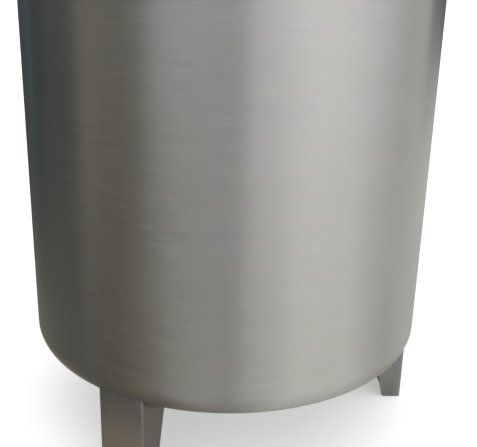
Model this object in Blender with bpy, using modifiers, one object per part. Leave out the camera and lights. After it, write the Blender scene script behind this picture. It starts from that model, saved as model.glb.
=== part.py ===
"""A vertical storage tank of brushed stainless steel, standing on three folded legs.

Sizes are in metres. The tank's axis is the z axis and the floor is z = 0. The front leg
faces -Y, and the other two stand 120 degrees to each side of it. A turned piece is drawn
as a profile of (radius, height) points that runs down its outer side.
"""

import math

import bmesh
import bpy
from mathutils import Matrix, Vector

# Vessel
TANK_RADIUS = 0.500
SHEET = 0.003
SHELL_HEIGHT = 1.220
HEAD_SKIRT = 0.025
KNUCKLE_RADIUS = 0.0613
CROWN_RADIUS = 2 * TANK_RADIUS
TANK_SEGMENTS = 60
KNUCKLE_STEPS = 4
CROWN_STEPS = (3, 2)

# Space between two pieces that touch on the real tank
GAP = 0.0003

# Points nearer than this are one point, and a fold above this angle is a sharp edge
MERGE = 0.00001
SHARP_EDGE = math.radians(30)

# Steps of a quarter bend, a half circle, a small round corner and a dome, and sides of a
# hexagon
BEND_STEPS = 4
HALF_CIRCLE_STEPS = 6
CORNER_STEPS = 3
DOME_STEPS = 4
HEXAGON = 6

# Legs, folded from one plate each
LEG_LENGTH = 0.265
LEG_FACE = 0.4924
LEG_WIDTH = 0.117
LEG_PLATE = 0.004
LEG_BEND = 0.008
FLANGE_AT_TOP = 0.110
FLANGE_AT_FOOT = 0.051
FOOT_CORNER = 0.007
FOOT_PLATE = 0.006
FOOT_PLATE_REACH = 0.042
LEG_NAMES = ("front", "back_right", "back_left")
LEG_STEP = 120

# Clamped ports for tube of 51 mm
TUBE_RADIUS = 0.0255
TUBE_WALL = 0.0016
FERRULE_RADIUS = 0.032
FERRULE_RIM = 0.0016
FERRULE_SLOPE = math.radians(20)
GASKET = 0.0016
CAP_HEIGHT = 0.0065
CLAMP_RADIUS = 0.0395
CLAMP_HALF_WIDTH = 0.0090
CLAMP_LIP = 0.0285
PORT_SEGMENTS = 24
PORT_RISE = 0.055
OUTLET_DROP = 0.032
PORT_OFFSET = 0.330
NECK_PAST_HEAD = 0.006
EAR_ANGLES = {"inlet": 90, "vent": 270, "outlet": 180}

# Ears and screw of a clamp
EAR_REACH = 0.060
EAR_WIDTH = 0.020
EAR_HALF_HEIGHT = 0.0077
EAR_SLOT = 0.004
SCREW_AT = 0.050
SCREW_RADIUS = 0.003
SCREW_HEAD = 0.004
SCREW_HEAD_RADIUS = 0.0055
SCREW_PAST_NUT = 0.004
CLAMP_NUT = 0.008
WING_SPAN = 0.036
WING_START = 0.002
WING_END = 0.016
WING_THICKNESS = 0.003

# Breather hood on the vent
HOOD_RADIUS = 0.044
HOOD_RISE = 0.020
HOOD_LOW = 0.026
HOOD_HIGH = 0.052
HOOD_SHEET = 0.002

# Manway
MANWAY_RADIUS = 0.200
MANWAY_FLANGE_RADIUS = 0.245
MANWAY_FLANGE = 0.008
MANWAY_RISE = 0.045
MANWAY_GASKET = 0.004
MANWAY_GASKET_WIDTH = 0.012
LID_SHEET = 0.003
LID_FLANGE = 0.005
LID_DOME_RADIUS = 0.185
LID_DOME_RISE = 0.036
LID_SEGMENTS = 48
SWING_BOLT_ANGLES = (200, 270, 340)
SWING_BOLT_AT = 0.2285
SWING_BOLT_RADIUS = 0.005
SWING_BOLT_RISE = 0.026
SLOT_WIDTH = 0.014
EYE_RADIUS = 0.0095
EYE_WIDTH = 0.011
PIVOT_PIN_RADIUS = 0.004
PIVOT_DROP = 0.012
PIN_PAST = 0.002
PIN_HEAD = 0.003
PIN_HEAD_RADIUS = 0.006
NUT_RADIUS = 0.0095
NUT_HEIGHT = 0.013
NUT_WING_SPAN = 0.056
NUT_WING_HEIGHT = 0.024
NUT_WING_THICKNESS = 0.005
NUT_WING_BITE = 0.004
NUT_WING_CORNER = 0.007
NUT_WING_MARGIN = 0.002
NUT_WING_LEAN = -30
BRACKET_PLATE = 0.005
SMALL_SEGMENTS = 16
ROD_SEGMENTS = 12

# Hinge of the manway lid
HINGE_AT = 0.266
HINGE_HALF_WIDTH = 0.018
HINGE_BARREL_RADIUS = 0.008
HINGE_EAR = 0.006
HINGE_STRAP = 0.006
HINGE_STRAP_START = 0.196
HINGE_ROUND_END = 0.010
HINGE_EAR_DEPTH = 0.035
HINGE_EAR_TOE = 0.004
HINGE_TIE = 0.006

# Handle on the lid
HANDLE_HALF_WIDTH = 0.060
HANDLE_RISE = 0.045
HANDLE_BEND = 0.018
HANDLE_ROD = 0.006
HANDLE_ROUNDNESS = 2

# Lifting lugs
LUG_PLATE = 0.008
LUG_AT = 0.385
LUG_HALF_WIDTH = 0.032
LUG_RISE = 0.058
LUG_HOLE = 0.014
LUG_STEPS = 8

# How far a cutter runs past what it cuts
PAST = 0.010

# Places that follow from the sizes above
BOTTOM_TANGENT = LEG_LENGTH
INLET_CENTRE = (-PORT_OFFSET, 0)
VENT_CENTRE = (PORT_OFFSET, 0)
SHELL_BOTTOM = BOTTOM_TANGENT + HEAD_SKIRT + GAP
SHELL_TOP = SHELL_BOTTOM + SHELL_HEIGHT
TOP_TANGENT = SHELL_TOP + GAP + HEAD_SKIRT
KNUCKLE_CENTRE = TANK_RADIUS - KNUCKLE_RADIUS
CROWN_CENTRE = math.sqrt((CROWN_RADIUS - KNUCKLE_RADIUS) ** 2 - KNUCKLE_CENTRE**2)
HEAD_DEPTH = CROWN_RADIUS - CROWN_CENTRE
CROWN_EDGE = math.degrees(math.asin(KNUCKLE_CENTRE / (CROWN_RADIUS - KNUCKLE_RADIUS)))
TANK_TOP = TOP_TANGENT + HEAD_DEPTH
MANWAY_FACE = TANK_TOP + MANWAY_RISE
LID_BASE = MANWAY_FACE + MANWAY_GASKET + 2 * GAP
LID_TOP = LID_BASE + LID_FLANGE
PIVOT_HEIGHT = MANWAY_FACE - MANWAY_FLANGE - GAP - PIVOT_DROP
STACK_HALF = FERRULE_RIM + GAP + GASKET / 2

PARTS = "vertical_storage_tank"
CUTTERS = "cutters"


def clear_scene():
    for obj in list(bpy.data.objects):
        bpy.data.objects.remove(obj, do_unlink=True)


def make_collection(name, rendered=True):
    made = bpy.data.collections.new(name)
    made.hide_render = not rendered
    bpy.context.scene.collection.children.link(made)
    return made


def make_material(name, colour, roughness, metallic):
    material = bpy.data.materials.new(name)
    material.use_nodes = True
    shader = material.node_tree.nodes["Principled BSDF"]
    shader.inputs["Base Color"].default_value = (*colour, 1.0)
    shader.inputs["Roughness"].default_value = roughness
    shader.inputs["Metallic"].default_value = metallic
    return material


# Building blocks


def place(name, mesh, collection=CUTTERS):
    """An object that holds the mesh, in one of the two collections."""
    obj = bpy.data.objects.new(name, mesh)
    bpy.data.collections[collection].objects.link(obj)
    if collection == CUTTERS:
        obj.hide_render = True
        obj.display_type = "WIRE"
    return obj


def bake(obj):
    """Replaces the object's mesh or curve with a mesh of what its modifiers make."""
    bpy.context.view_layer.update()
    evaluated = obj.evaluated_get(bpy.context.evaluated_depsgraph_get())
    mesh = bpy.data.meshes.new_from_object(evaluated)
    work = bmesh.new()
    work.from_mesh(mesh)
    bmesh.ops.remove_doubles(work, verts=work.verts, dist=MERGE)
    work.to_mesh(mesh)
    work.free()
    name = obj.name
    matrix = obj.matrix_world.copy()
    bpy.data.objects.remove(obj, do_unlink=True)
    mesh.transform(matrix)
    return place(name, mesh)


def finish(obj, material, collection=PARTS):
    """Moves a shape from the cutters to the parts, smooth where it is round."""
    mesh = obj.data
    mesh.materials.clear()
    mesh.materials.append(material)
    mesh.shade_smooth()
    mesh.set_sharp_from_angle(angle=SHARP_EDGE)
    name = obj.name
    bpy.data.objects.remove(obj, do_unlink=True)
    made = place(name, mesh, collection)
    mesh.name = name
    return made


def turned(name, profile, segments, closed=True, centre=(0, 0)):
    """Turns a profile of (radius, height) points about a vertical axis."""
    mesh = bpy.data.meshes.new(name)
    points = [(radius, 0, height) for radius, height in profile]
    edges = [(i, i + 1) for i in range(len(points) - 1)]
    if closed:
        edges.append((len(points) - 1, 0))
    mesh.from_pydata(points, edges, [])
    obj = place(name, mesh)
    obj.location = (*centre, 0)
    screw = obj.modifiers.new("Turn", "SCREW")
    screw.axis = "Z"
    screw.angle = math.tau
    screw.steps = segments
    screw.render_steps = segments
    screw.use_merge_vertices = True
    screw.merge_threshold = MERGE
    return bake(obj)


def plate(name, outline, thickness, matrix=None):
    """A flat outline made into a plate, half of its thickness to each side."""
    curve = bpy.data.curves.new(name, "CURVE")
    curve.dimensions = "2D"
    curve.fill_mode = "BOTH"
    curve.extrude = thickness / 2
    spline = curve.splines.new("POLY")
    spline.points.add(len(outline) - 1)
    for point, (x, y) in zip(spline.points, outline):
        point.co = (x, y, 0, 1)
    spline.use_cyclic_u = True
    obj = place(name, curve)
    if matrix is not None:
        obj.matrix_world = matrix
    return bake(obj)


def block(name, low, high):
    """A box between two corners."""
    mesh = bpy.data.meshes.new(name)
    work = bmesh.new()
    bmesh.ops.create_cube(work, size=1)
    size = Vector(high) - Vector(low)
    middle = (Vector(high) + Vector(low)) / 2
    bmesh.ops.transform(
        work,
        matrix=Matrix.Translation(middle) @ Matrix.Diagonal((*size, 1)),
        verts=work.verts,
    )
    work.to_mesh(mesh)
    work.free()
    return place(name, mesh)


def rod(name, start, end, radius, segments=SMALL_SEGMENTS):
    """A straight round rod between two points."""
    start = Vector(start)
    along = Vector(end) - start
    mesh = bpy.data.meshes.new(name)
    work = bmesh.new()
    bmesh.ops.create_cone(
        work,
        cap_ends=True,
        segments=segments,
        radius1=radius,
        radius2=radius,
        depth=along.length,
    )
    turn = along.to_track_quat("Z", "Y").to_matrix().to_4x4()
    bmesh.ops.transform(
        work,
        matrix=Matrix.Translation(start + along / 2) @ turn,
        verts=work.verts,
    )
    work.to_mesh(mesh)
    work.free()
    return place(name, mesh)


def combine(obj, other, operation):
    """Cuts the object with the other shape, or joins the two, and removes the other."""
    boolean = obj.modifiers.new(operation, "BOOLEAN")
    boolean.operation = operation
    boolean.solver = "EXACT"
    boolean.object = other
    made = bake(obj)
    bpy.data.objects.remove(other, do_unlink=True)
    return made


def cut(obj, *others):
    for other in others:
        obj = combine(obj, other, "DIFFERENCE")
    return obj


def join(obj, *others):
    for other in others:
        obj = combine(obj, other, "UNION")
    return obj


def copy_turned(obj, name, degrees):
    """A copy of a finished piece, turned about the tank's axis."""
    made = place(name, obj.data, PARTS)
    made.rotation_euler.z = math.radians(degrees)
    return made


def arc(centre, radius, start, end, steps):
    """Points on an arc, its angles in degrees from the first axis."""
    points = []
    for i in range(steps + 1):
        angle = math.radians(start + (end - start) * i / steps)
        points.append(
            (
                centre[0] + radius * math.cos(angle),
                centre[1] + radius * math.sin(angle),
            )
        )
    return points


def rounded_outline(low, high, radius):
    """The outline of a rectangle with round corners."""
    corners = (
        (high[0] - radius, high[1] - radius, 0),
        (low[0] + radius, high[1] - radius, 90),
        (low[0] + radius, low[1] + radius, 180),
        (high[0] - radius, low[1] + radius, 270),
    )
    points = []
    for x, y, start in corners:
        points += arc((x, y), radius, start, start + 90, CORNER_STEPS)
    return points


def upside_down(profile, level=0.0):
    """The profile mirrored in height and moved up, still running down its outer side."""
    return [(radius, level - height) for radius, height in reversed(profile)]


def raised(profile, level):
    return [(radius, level + height) for radius, height in profile]


def across(x):
    """Stands a plate upright in the plane through the tank's axis and the y axis."""
    return Matrix.Translation((x, 0, 0)) @ Matrix(
        ((0, 0, 1, 0), (1, 0, 0, 0), (0, 1, 0, 0), (0, 0, 0, 1))
    )


# Heads and shell


def head_line(inset, hole_radius):
    """One side of the bottom head, from its rim down to the axis or to a round hole.

    The rim is a short straight skirt, then comes the tight arc of the knuckle and the wide
    arc of the crown, which meet on one tangent. Height 0 is the lower end of the skirt.
    The crown is drawn in two stretches, which meet where a manway would be cut, so that
    both heads have the same facets.
    """
    line = [(TANK_RADIUS - inset, HEAD_SKIRT)]
    line += arc((KNUCKLE_CENTRE, 0), KNUCKLE_RADIUS - inset, 0, CROWN_EDGE - 90, KNUCKLE_STEPS)
    radius = CROWN_RADIUS - inset
    start = CROWN_EDGE - 90
    for edge, steps in zip((MANWAY_RADIUS + GAP, hole_radius), CROWN_STEPS):
        end = -math.degrees(math.acos(edge / radius))
        if end < start:
            line += arc((0, CROWN_CENTRE), radius, start, end, steps)[1:]
        start = end
    if hole_radius == 0:
        line[-1] = (0, CROWN_CENTRE - radius)
    return line


def head_profile(hole_radius):
    return head_line(0, hole_radius) + head_line(SHEET, hole_radius)[::-1]


def head_space(above):
    """The bottom head's outer form grown by the gap and filled up to a height above it."""
    return [(0, above), (TANK_RADIUS + GAP, above)] + head_line(-GAP, 0)


def crown_height(radius, inset=0.0):
    """Height of the top head's crown above its skirt at a radius."""
    return math.sqrt((CROWN_RADIUS - inset) ** 2 - radius**2) - CROWN_CENTRE


def make_shell(steel):
    profile = (
        (TANK_RADIUS, SHELL_TOP),
        (TANK_RADIUS, SHELL_BOTTOM),
        (TANK_RADIUS - SHEET, SHELL_BOTTOM),
        (TANK_RADIUS - SHEET, SHELL_TOP),
    )
    finish(turned("shell", profile, TANK_SEGMENTS), steel)


def make_bottom_head(steel):
    profile = raised(head_profile(TUBE_RADIUS + GAP), BOTTOM_TANGENT)
    finish(turned("bottom_head", profile, TANK_SEGMENTS), steel)


def make_top_head(steel):
    profile = upside_down(head_profile(MANWAY_RADIUS + GAP), TOP_TANGENT)
    head = turned("top_head", profile, TANK_SEGMENTS)
    for centre in (INLET_CENTRE, VENT_CENTRE):
        hole = (
            (0, TANK_TOP),
            (TUBE_RADIUS + GAP, TANK_TOP),
            (TUBE_RADIUS + GAP, TOP_TANGENT),
            (0, TOP_TANGENT),
        )
        cutter = turned("port_hole", hole, PORT_SEGMENTS, closed=False, centre=centre)
        head = cut(head, cutter)
    finish(head, steel)


# Legs


def leg_channel():
    """The folded plate of the front leg before it is cut: a web with a flange each side."""
    half = LEG_WIDTH / 2
    inner = half - LEG_BEND
    back = -LEG_FACE + LEG_BEND
    flange_end = -LEG_FACE + FLANGE_AT_TOP + PAST
    path = [(-half, flange_end)]
    path += arc((-inner, back), LEG_BEND, 180, 270, BEND_STEPS)
    path += arc((inner, back), LEG_BEND, 270, 360, BEND_STEPS)
    path.append((half, flange_end))
    mesh = bpy.data.meshes.new("leg")
    work = bmesh.new()
    corners = [work.verts.new((x, y, 0)) for x, y in path]
    edges = [work.edges.new(pair) for pair in zip(corners, corners[1:])]
    grown = bmesh.ops.extrude_edge_only(work, edges=edges)["geom"]
    top = [item for item in grown if isinstance(item, bmesh.types.BMVert)]
    bmesh.ops.translate(work, vec=(0, 0, LEG_LENGTH), verts=top)
    outward = min(work.faces, key=lambda face: face.calc_center_median().y)
    outward.normal_update()
    if outward.normal.y > 0:
        bmesh.ops.reverse_faces(work, faces=work.faces)
    work.to_mesh(mesh)
    work.free()
    obj = place("leg", mesh)
    thicken = obj.modifiers.new("Plate", "SOLIDIFY")
    thicken.thickness = LEG_PLATE
    thicken.offset = -1
    thicken.use_even_offset = True
    return bake(obj)


def taper_cutter():
    """What is cut from the flanges, so that they narrow from the head to the foot.

    Their free edge is a slanted line, which meets the foot in a small round corner.
    """
    slope = math.atan2(FLANGE_AT_TOP - FLANGE_AT_FOOT, LEG_LENGTH)
    foot_edge = -LEG_FACE + FLANGE_AT_FOOT
    reach = FOOT_CORNER * math.tan((math.pi / 2 - slope) / 2)
    centre = (foot_edge - reach, FOOT_CORNER)
    top = LEG_LENGTH + PAST
    outline = [(centre[0], -PAST)]
    outline += arc(centre, FOOT_CORNER, -90, -math.degrees(slope), BEND_STEPS)
    outline += [(foot_edge + top * math.tan(slope), top), (0, top), (0, -PAST)]
    return plate("taper", outline, 2 * LEG_WIDTH, across(0))


def make_legs(steel):
    space = raised(head_space(HEAD_SKIRT), BOTTOM_TANGENT)
    head = turned("head_space", space, TANK_SEGMENTS, closed=False)
    leg = cut(leg_channel(), taper_cutter(), head)
    leg.name = "leg_" + LEG_NAMES[0]
    leg = finish(leg, steel)
    for count, name in enumerate(LEG_NAMES[1:], 1):
        copy_turned(leg, "leg_" + name, count * LEG_STEP)


def make_foot_plates(steel):
    """A plate let into the foot of each leg, level with its lower edge."""
    side = LEG_WIDTH / 2 - LEG_PLATE - GAP
    low = (-side, -LEG_FACE + LEG_PLATE + GAP)
    high = (side, -LEG_FACE + FOOT_PLATE_REACH)
    outline = rounded_outline(low, high, LEG_BEND - LEG_PLATE + GAP)
    level = Matrix.Translation((0, 0, FOOT_PLATE / 2))
    name = "foot_plate_" + LEG_NAMES[0]
    foot = finish(plate(name, outline, FOOT_PLATE, level), steel)
    for count, name in enumerate(LEG_NAMES[1:], 1):
        copy_turned(foot, "foot_plate_" + name, count * LEG_STEP)


# Clamped ports. Height 0 is the face of the neck, and the port points up.


def slope_height(radius):
    """How far the sloping back of a ferrule lies behind its rim at a radius."""
    return (FERRULE_RADIUS - radius) * math.tan(FERRULE_SLOPE)


def neck_profile(length):
    bore = TUBE_RADIUS - TUBE_WALL
    return [
        (FERRULE_RADIUS, 0),
        (FERRULE_RADIUS, -FERRULE_RIM),
        (TUBE_RADIUS, -FERRULE_RIM - slope_height(TUBE_RADIUS)),
        (TUBE_RADIUS, -length),
        (bore, -length),
        (bore, 0),
    ]


def gasket_profile():
    bore = TUBE_RADIUS - TUBE_WALL
    return [
        (FERRULE_RADIUS, GAP + GASKET),
        (FERRULE_RADIUS, GAP),
        (bore, GAP),
        (bore, GAP + GASKET),
    ]


def cap_profile():
    base = 2 * GAP + GASKET
    rim = base + FERRULE_RIM
    return [
        (0, base + CAP_HEIGHT),
        (TUBE_RADIUS, base + CAP_HEIGHT),
        (TUBE_RADIUS, rim + slope_height(TUBE_RADIUS)),
        (FERRULE_RADIUS, rim),
        (FERRULE_RADIUS, base),
        (0, base),
    ]


def hood_profile():
    """A ferrule with a short stem under a round hood, whose skirt hangs free of the stem."""
    base = 2 * GAP + GASKET
    rim = base + FERRULE_RIM
    return dome(HOOD_RADIUS, base + HOOD_HIGH, HOOD_RISE) + [
        (HOOD_RADIUS, base + HOOD_LOW),
        (HOOD_RADIUS - HOOD_SHEET, base + HOOD_LOW),
        (HOOD_RADIUS - HOOD_SHEET, base + HOOD_HIGH - HOOD_SHEET),
        (TUBE_RADIUS, base + HOOD_HIGH - HOOD_SHEET),
        (TUBE_RADIUS, rim + slope_height(TUBE_RADIUS)),
        (FERRULE_RADIUS, rim),
        (FERRULE_RADIUS, base),
        (0, base),
    ]


def dome(radius, base, rise):
    """Points of a shallow round dome, from its top on the axis down to its edge."""
    ball = (radius**2 + rise**2) / (2 * rise)
    edge = math.degrees(math.acos(radius / ball))
    points = arc((0, base + rise - ball), ball, 90, edge, DOME_STEPS)
    points[0] = (0, base + rise)
    return points


def clamp_ring():
    """The ring that holds two ferrules together, split at two ears that a screw draws in."""
    groove = FERRULE_RADIUS + 2 * GAP
    side = STACK_HALF + GAP
    lip = side + slope_height(CLAMP_LIP) + GAP
    profile = [
        (CLAMP_RADIUS, CLAMP_HALF_WIDTH),
        (CLAMP_RADIUS, -CLAMP_HALF_WIDTH),
        (CLAMP_LIP, -CLAMP_HALF_WIDTH),
        (CLAMP_LIP, -lip),
        (groove, -side),
        (groove, side),
        (CLAMP_LIP, lip),
        (CLAMP_LIP, CLAMP_HALF_WIDTH),
    ]
    ring = turned("clamp", profile, PORT_SEGMENTS)
    low = ((CLAMP_RADIUS + groove) / 2, -EAR_WIDTH / 2, -EAR_HALF_HEIGHT)
    ears = block("ears", low, (EAR_REACH, EAR_WIDTH / 2, EAR_HALF_HEIGHT))
    past = (EAR_REACH + PAST, EAR_SLOT / 2, CLAMP_HALF_WIDTH + PAST)
    slot = block("slot", (0, -past[1], -past[2]), past)
    hole = rod(
        "hole",
        (SCREW_AT, -EAR_WIDTH, 0),
        (SCREW_AT, EAR_WIDTH, 0),
        SCREW_RADIUS + GAP,
    )
    return cut(join(ring, ears), slot, hole)


def clamp_screw():
    """The clamp's screw, with its head on one ear and a wing nut on the other."""
    face = EAR_WIDTH / 2 + GAP
    nut_end = face + CLAMP_NUT
    start = (SCREW_AT, -face - SCREW_HEAD, 0)
    end = (SCREW_AT, nut_end + SCREW_PAST_NUT, 0)
    shank = rod("screw", start, end, SCREW_RADIUS, ROD_SEGMENTS)
    head = rod("head", start, (SCREW_AT, -face, 0), SCREW_HEAD_RADIUS, HEXAGON)
    nut_face = (SCREW_AT, face, 0)
    nut = rod("nut", nut_face, (SCREW_AT, nut_end, 0), SCREW_HEAD_RADIUS, ROD_SEGMENTS)
    half = WING_THICKNESS / 2
    wings = block(
        "wings",
        (SCREW_AT - half, face + WING_START, -WING_SPAN / 2),
        (SCREW_AT + half, face + WING_END, WING_SPAN / 2),
    )
    dip = block(
        "dip",
        (SCREW_AT - WING_THICKNESS, nut_end - SCREW_PAST_NUT / 2, -SCREW_HEAD_RADIUS),
        (SCREW_AT + WING_THICKNESS, face + 2 * WING_END, SCREW_HEAD_RADIUS),
    )
    return join(shank, head, nut, cut(wings, dip))


def about_axis(angle):
    """A turn about the vertical axis, in degrees."""
    return Matrix.Rotation(math.radians(angle), 4, "Z")


def make_port(name, centre, face, length, top_name, top_profile, materials, down=False):
    """A neck, gasket, cap, clamp ring and clamp screw on one upright axis."""
    steel, rubber, hardware = materials
    shapes = {
        name + "_neck": (neck_profile(length), steel, True),
        name + "_gasket": (gasket_profile(), rubber, True),
        name + top_name: (top_profile, steel, False),
    }
    for piece, (profile, material, closed) in shapes.items():
        profile = upside_down(profile, face) if down else raised(profile, face)
        finish(turned(piece, profile, PORT_SEGMENTS, closed, centre), material)
    middle = GAP + GASKET / 2
    height = face - middle if down else face + middle
    there = Matrix.Translation((*centre, height)) @ about_axis(EAR_ANGLES[name])
    for piece, shape in (("_clamp", clamp_ring()), ("_clamp_screw", clamp_screw())):
        shape.data.transform(there)
        shape.name = name + piece
        finish(shape, hardware)


# Manway


def bolt_slots():
    """Cutters for the slots in both manway flanges, open outwards, one for each bolt."""
    half = SLOT_WIDTH / 2
    outline = arc((SWING_BOLT_AT, 0), half, 90, 270, HALF_CIRCLE_STEPS)
    outline += [(MANWAY_FLANGE_RADIUS + half, -half), (MANWAY_FLANGE_RADIUS + half, half)]
    slots = []
    for angle in SWING_BOLT_ANGLES:
        there = about_axis(angle) @ Matrix.Translation((0, 0, MANWAY_FACE))
        slots.append(plate("bolt_slot", outline, 4 * PAST, there))
    return slots


def make_manway_neck(steel):
    low = TOP_TANGENT + crown_height(MANWAY_RADIUS, SHEET) - NECK_PAST_HEAD
    under = MANWAY_FACE - MANWAY_FLANGE
    bore = MANWAY_RADIUS - SHEET
    profile = (
        (MANWAY_FLANGE_RADIUS, MANWAY_FACE),
        (MANWAY_FLANGE_RADIUS, under),
        (MANWAY_RADIUS, under),
        (MANWAY_RADIUS, low),
        (bore, low),
        (bore, MANWAY_FACE),
    )
    neck = turned("manway_neck", profile, TANK_SEGMENTS)
    finish(cut(neck, *bolt_slots()), steel)


def make_manway_gasket(rubber):
    low = MANWAY_FACE + GAP
    high = low + MANWAY_GASKET
    outer = MANWAY_RADIUS + MANWAY_GASKET_WIDTH
    profile = ((outer, high), (outer, low), (MANWAY_RADIUS, low), (MANWAY_RADIUS, high))
    finish(turned("manway_gasket", profile, LID_SEGMENTS), rubber)


def make_manway_lid(steel):
    outside = dome(LID_DOME_RADIUS, LID_TOP, LID_DOME_RISE)
    inner_rise = LID_DOME_RISE + LID_FLANGE - LID_SHEET
    inside = dome(LID_DOME_RADIUS, LID_BASE, inner_rise)
    rim = [(MANWAY_FLANGE_RADIUS, LID_TOP), (MANWAY_FLANGE_RADIUS, LID_BASE)]
    lid = turned("manway_lid", outside + rim + inside[::-1], LID_SEGMENTS, closed=False)
    finish(cut(lid, *bolt_slots()), steel)


def bolt_bracket():
    """Two ears and a pin on a small base plate, in which a swing bolt's eye turns."""
    ear_inside = EYE_WIDTH / 2 + GAP
    ear_outside = ear_inside + BRACKET_PLATE
    wall = MANWAY_RADIUS + GAP
    root = wall + BRACKET_PLATE / 2
    outline = [(root, EYE_RADIUS), (root, -EYE_RADIUS)]
    outline += arc((SWING_BOLT_AT, 0), EYE_RADIUS, -90, 90, HALF_CIRCLE_STEPS)
    upright = Matrix(((1, 0, 0, 0), (0, 0, -1, 0), (0, 1, 0, 0), (0, 0, 0, 1)))
    ears = []
    for side in (-1, 1):
        middle = Matrix.Translation((0, side * (ear_inside + BRACKET_PLATE / 2), 0))
        ears.append(plate("ear", outline, BRACKET_PLATE, middle @ upright))
    side = ear_outside + BRACKET_PLATE / 2
    base = block("base", (wall, -side, -PIVOT_DROP), (wall + BRACKET_PLATE, side, PIVOT_DROP))
    pin = rod(
        "pin",
        (SWING_BOLT_AT, -ear_outside - PIN_PAST, 0),
        (SWING_BOLT_AT, ear_outside + PIN_PAST, 0),
        PIVOT_PIN_RADIUS,
        ROD_SEGMENTS,
    )
    return join(base, *ears, pin)


def swing_bolt():
    """A bolt with an eye at its lower end. Height 0 is the middle of the eye."""
    half = EYE_WIDTH / 2
    top = LID_TOP + SWING_BOLT_RISE - PIVOT_HEIGHT
    eye = rod("eye", (SWING_BOLT_AT, -half, 0), (SWING_BOLT_AT, half, 0), EYE_RADIUS)
    shank = rod(
        "shank",
        (SWING_BOLT_AT, 0, 0),
        (SWING_BOLT_AT, 0, top),
        SWING_BOLT_RADIUS,
        ROD_SEGMENTS,
    )
    hole = rod(
        "hole",
        (SWING_BOLT_AT, -2 * half, 0),
        (SWING_BOLT_AT, 2 * half, 0),
        PIVOT_PIN_RADIUS + GAP,
        ROD_SEGMENTS,
    )
    return cut(join(eye, shank), hole)


def wing_nut():
    """A nut with two wings, which stands on the lid. Height 0 is its lower face."""
    nut = rod("nut", (SWING_BOLT_AT, 0, 0), (SWING_BOLT_AT, 0, NUT_HEIGHT), NUT_RADIUS)
    half = NUT_WING_THICKNESS / 2
    span = NUT_WING_SPAN / 2
    root = NUT_RADIUS - NUT_WING_BITE
    tip = (span - NUT_WING_CORNER, NUT_WING_HEIGHT - NUT_WING_CORNER)
    outline = [(root, NUT_WING_MARGIN), (NUT_RADIUS + NUT_WING_MARGIN, NUT_WING_MARGIN)]
    outline += arc(tip, NUT_WING_CORNER, NUT_WING_LEAN, 180 + NUT_WING_LEAN, HALF_CIRCLE_STEPS)
    outline += [(root, NUT_HEIGHT - NUT_WING_MARGIN)]
    for side in (90, -90):
        upright = (
            Matrix.Translation((SWING_BOLT_AT, 0, 0))
            @ about_axis(side)
            @ Matrix.Rotation(math.radians(90), 4, "X")
        )
        nut = join(nut, plate("wing", outline, 2 * half, upright))
    hole = rod(
        "hole",
        (SWING_BOLT_AT, 0, -NUT_HEIGHT),
        (SWING_BOLT_AT, 0, 2 * NUT_HEIGHT),
        SWING_BOLT_RADIUS + GAP,
        ROD_SEGMENTS,
    )
    return cut(nut, hole)


def make_swing_bolts(steel, hardware):
    for count, angle in enumerate(SWING_BOLT_ANGLES, 1):
        turn = about_axis(angle)
        pieces = (
            ("manway_bolt_bracket", bolt_bracket(), PIVOT_HEIGHT, steel),
            ("manway_swing_bolt", swing_bolt(), PIVOT_HEIGHT, hardware),
            ("manway_wing_nut", wing_nut(), LID_TOP + GAP, hardware),
        )
        for name, shape, height, material in pieces:
            shape.data.transform(turn @ Matrix.Translation((0, 0, height)))
            shape.name = f"{name}_{count}"
            finish(shape, material)


def make_hinge(steel, hardware):
    """Two ears on the neck, a strap with a barrel on the lid, and the pin through them."""
    pivot = LID_TOP + GAP + HINGE_STRAP / 2
    under = MANWAY_FACE - MANWAY_FLANGE - GAP
    wall = MANWAY_RADIUS + GAP
    outside = MANWAY_FLANGE_RADIUS + GAP
    outline = [(outside, pivot), (outside, under), (wall, under), (wall, under - HINGE_EAR_DEPTH)]
    outline += [(HINGE_AT + HINGE_ROUND_END, under - HINGE_EAR_TOE)]
    outline += arc((HINGE_AT, pivot), HINGE_ROUND_END, 0, 180, HALF_CIRCLE_STEPS)[:-1]
    ears = []
    for side in (-1, 1):
        x = side * (HINGE_HALF_WIDTH + GAP + HINGE_EAR / 2)
        ears.append(plate("ear", outline, HINGE_EAR, across(x)))
    tie_end = HINGE_HALF_WIDTH + HINGE_EAR / 2
    tie_top = under - 2 * HINGE_EAR_TOE
    low = (-tie_end, wall + HINGE_EAR_TOE, tie_top - HINGE_TIE)
    tie = block("tie", low, (tie_end, outside - HINGE_TIE, tie_top))
    ear_face = HINGE_HALF_WIDTH + 2 * GAP + HINGE_EAR
    bracket = cut(join(tie, *ears), hinge_rod("hole", ear_face + PAST, GAP))
    bracket.name = "manway_hinge_bracket"
    finish(bracket, steel)

    width = HINGE_HALF_WIDTH - GAP
    low = LID_TOP + GAP
    strap = block("strap", (-width, HINGE_STRAP_START, low), (width, HINGE_AT, low + HINGE_STRAP))
    barrel = hinge_rod("barrel", width, HINGE_BARREL_RADIUS - PIVOT_PIN_RADIUS)
    strap = cut(join(strap, barrel), hinge_rod("hole", ear_face + PAST, GAP))
    strap.name = "manway_hinge_strap"
    finish(strap, steel)

    head = rod(
        "head",
        (-ear_face - PIN_HEAD, HINGE_AT, pivot),
        (-ear_face, HINGE_AT, pivot),
        PIN_HEAD_RADIUS,
        ROD_SEGMENTS,
    )
    pin = join(hinge_rod("pin", ear_face + PIN_PAST), head)
    pin.name = "manway_hinge_pin"
    finish(pin, hardware)


def hinge_rod(name, half_length, extra=0.0):
    """A rod on the hinge's axis, thicker than its pin by an extra radius."""
    pivot = LID_TOP + GAP + HINGE_STRAP / 2
    start = (-half_length, HINGE_AT, pivot)
    end = (half_length, HINGE_AT, pivot)
    return rod(name, start, end, PIVOT_PIN_RADIUS + extra, ROD_SEGMENTS)


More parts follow.
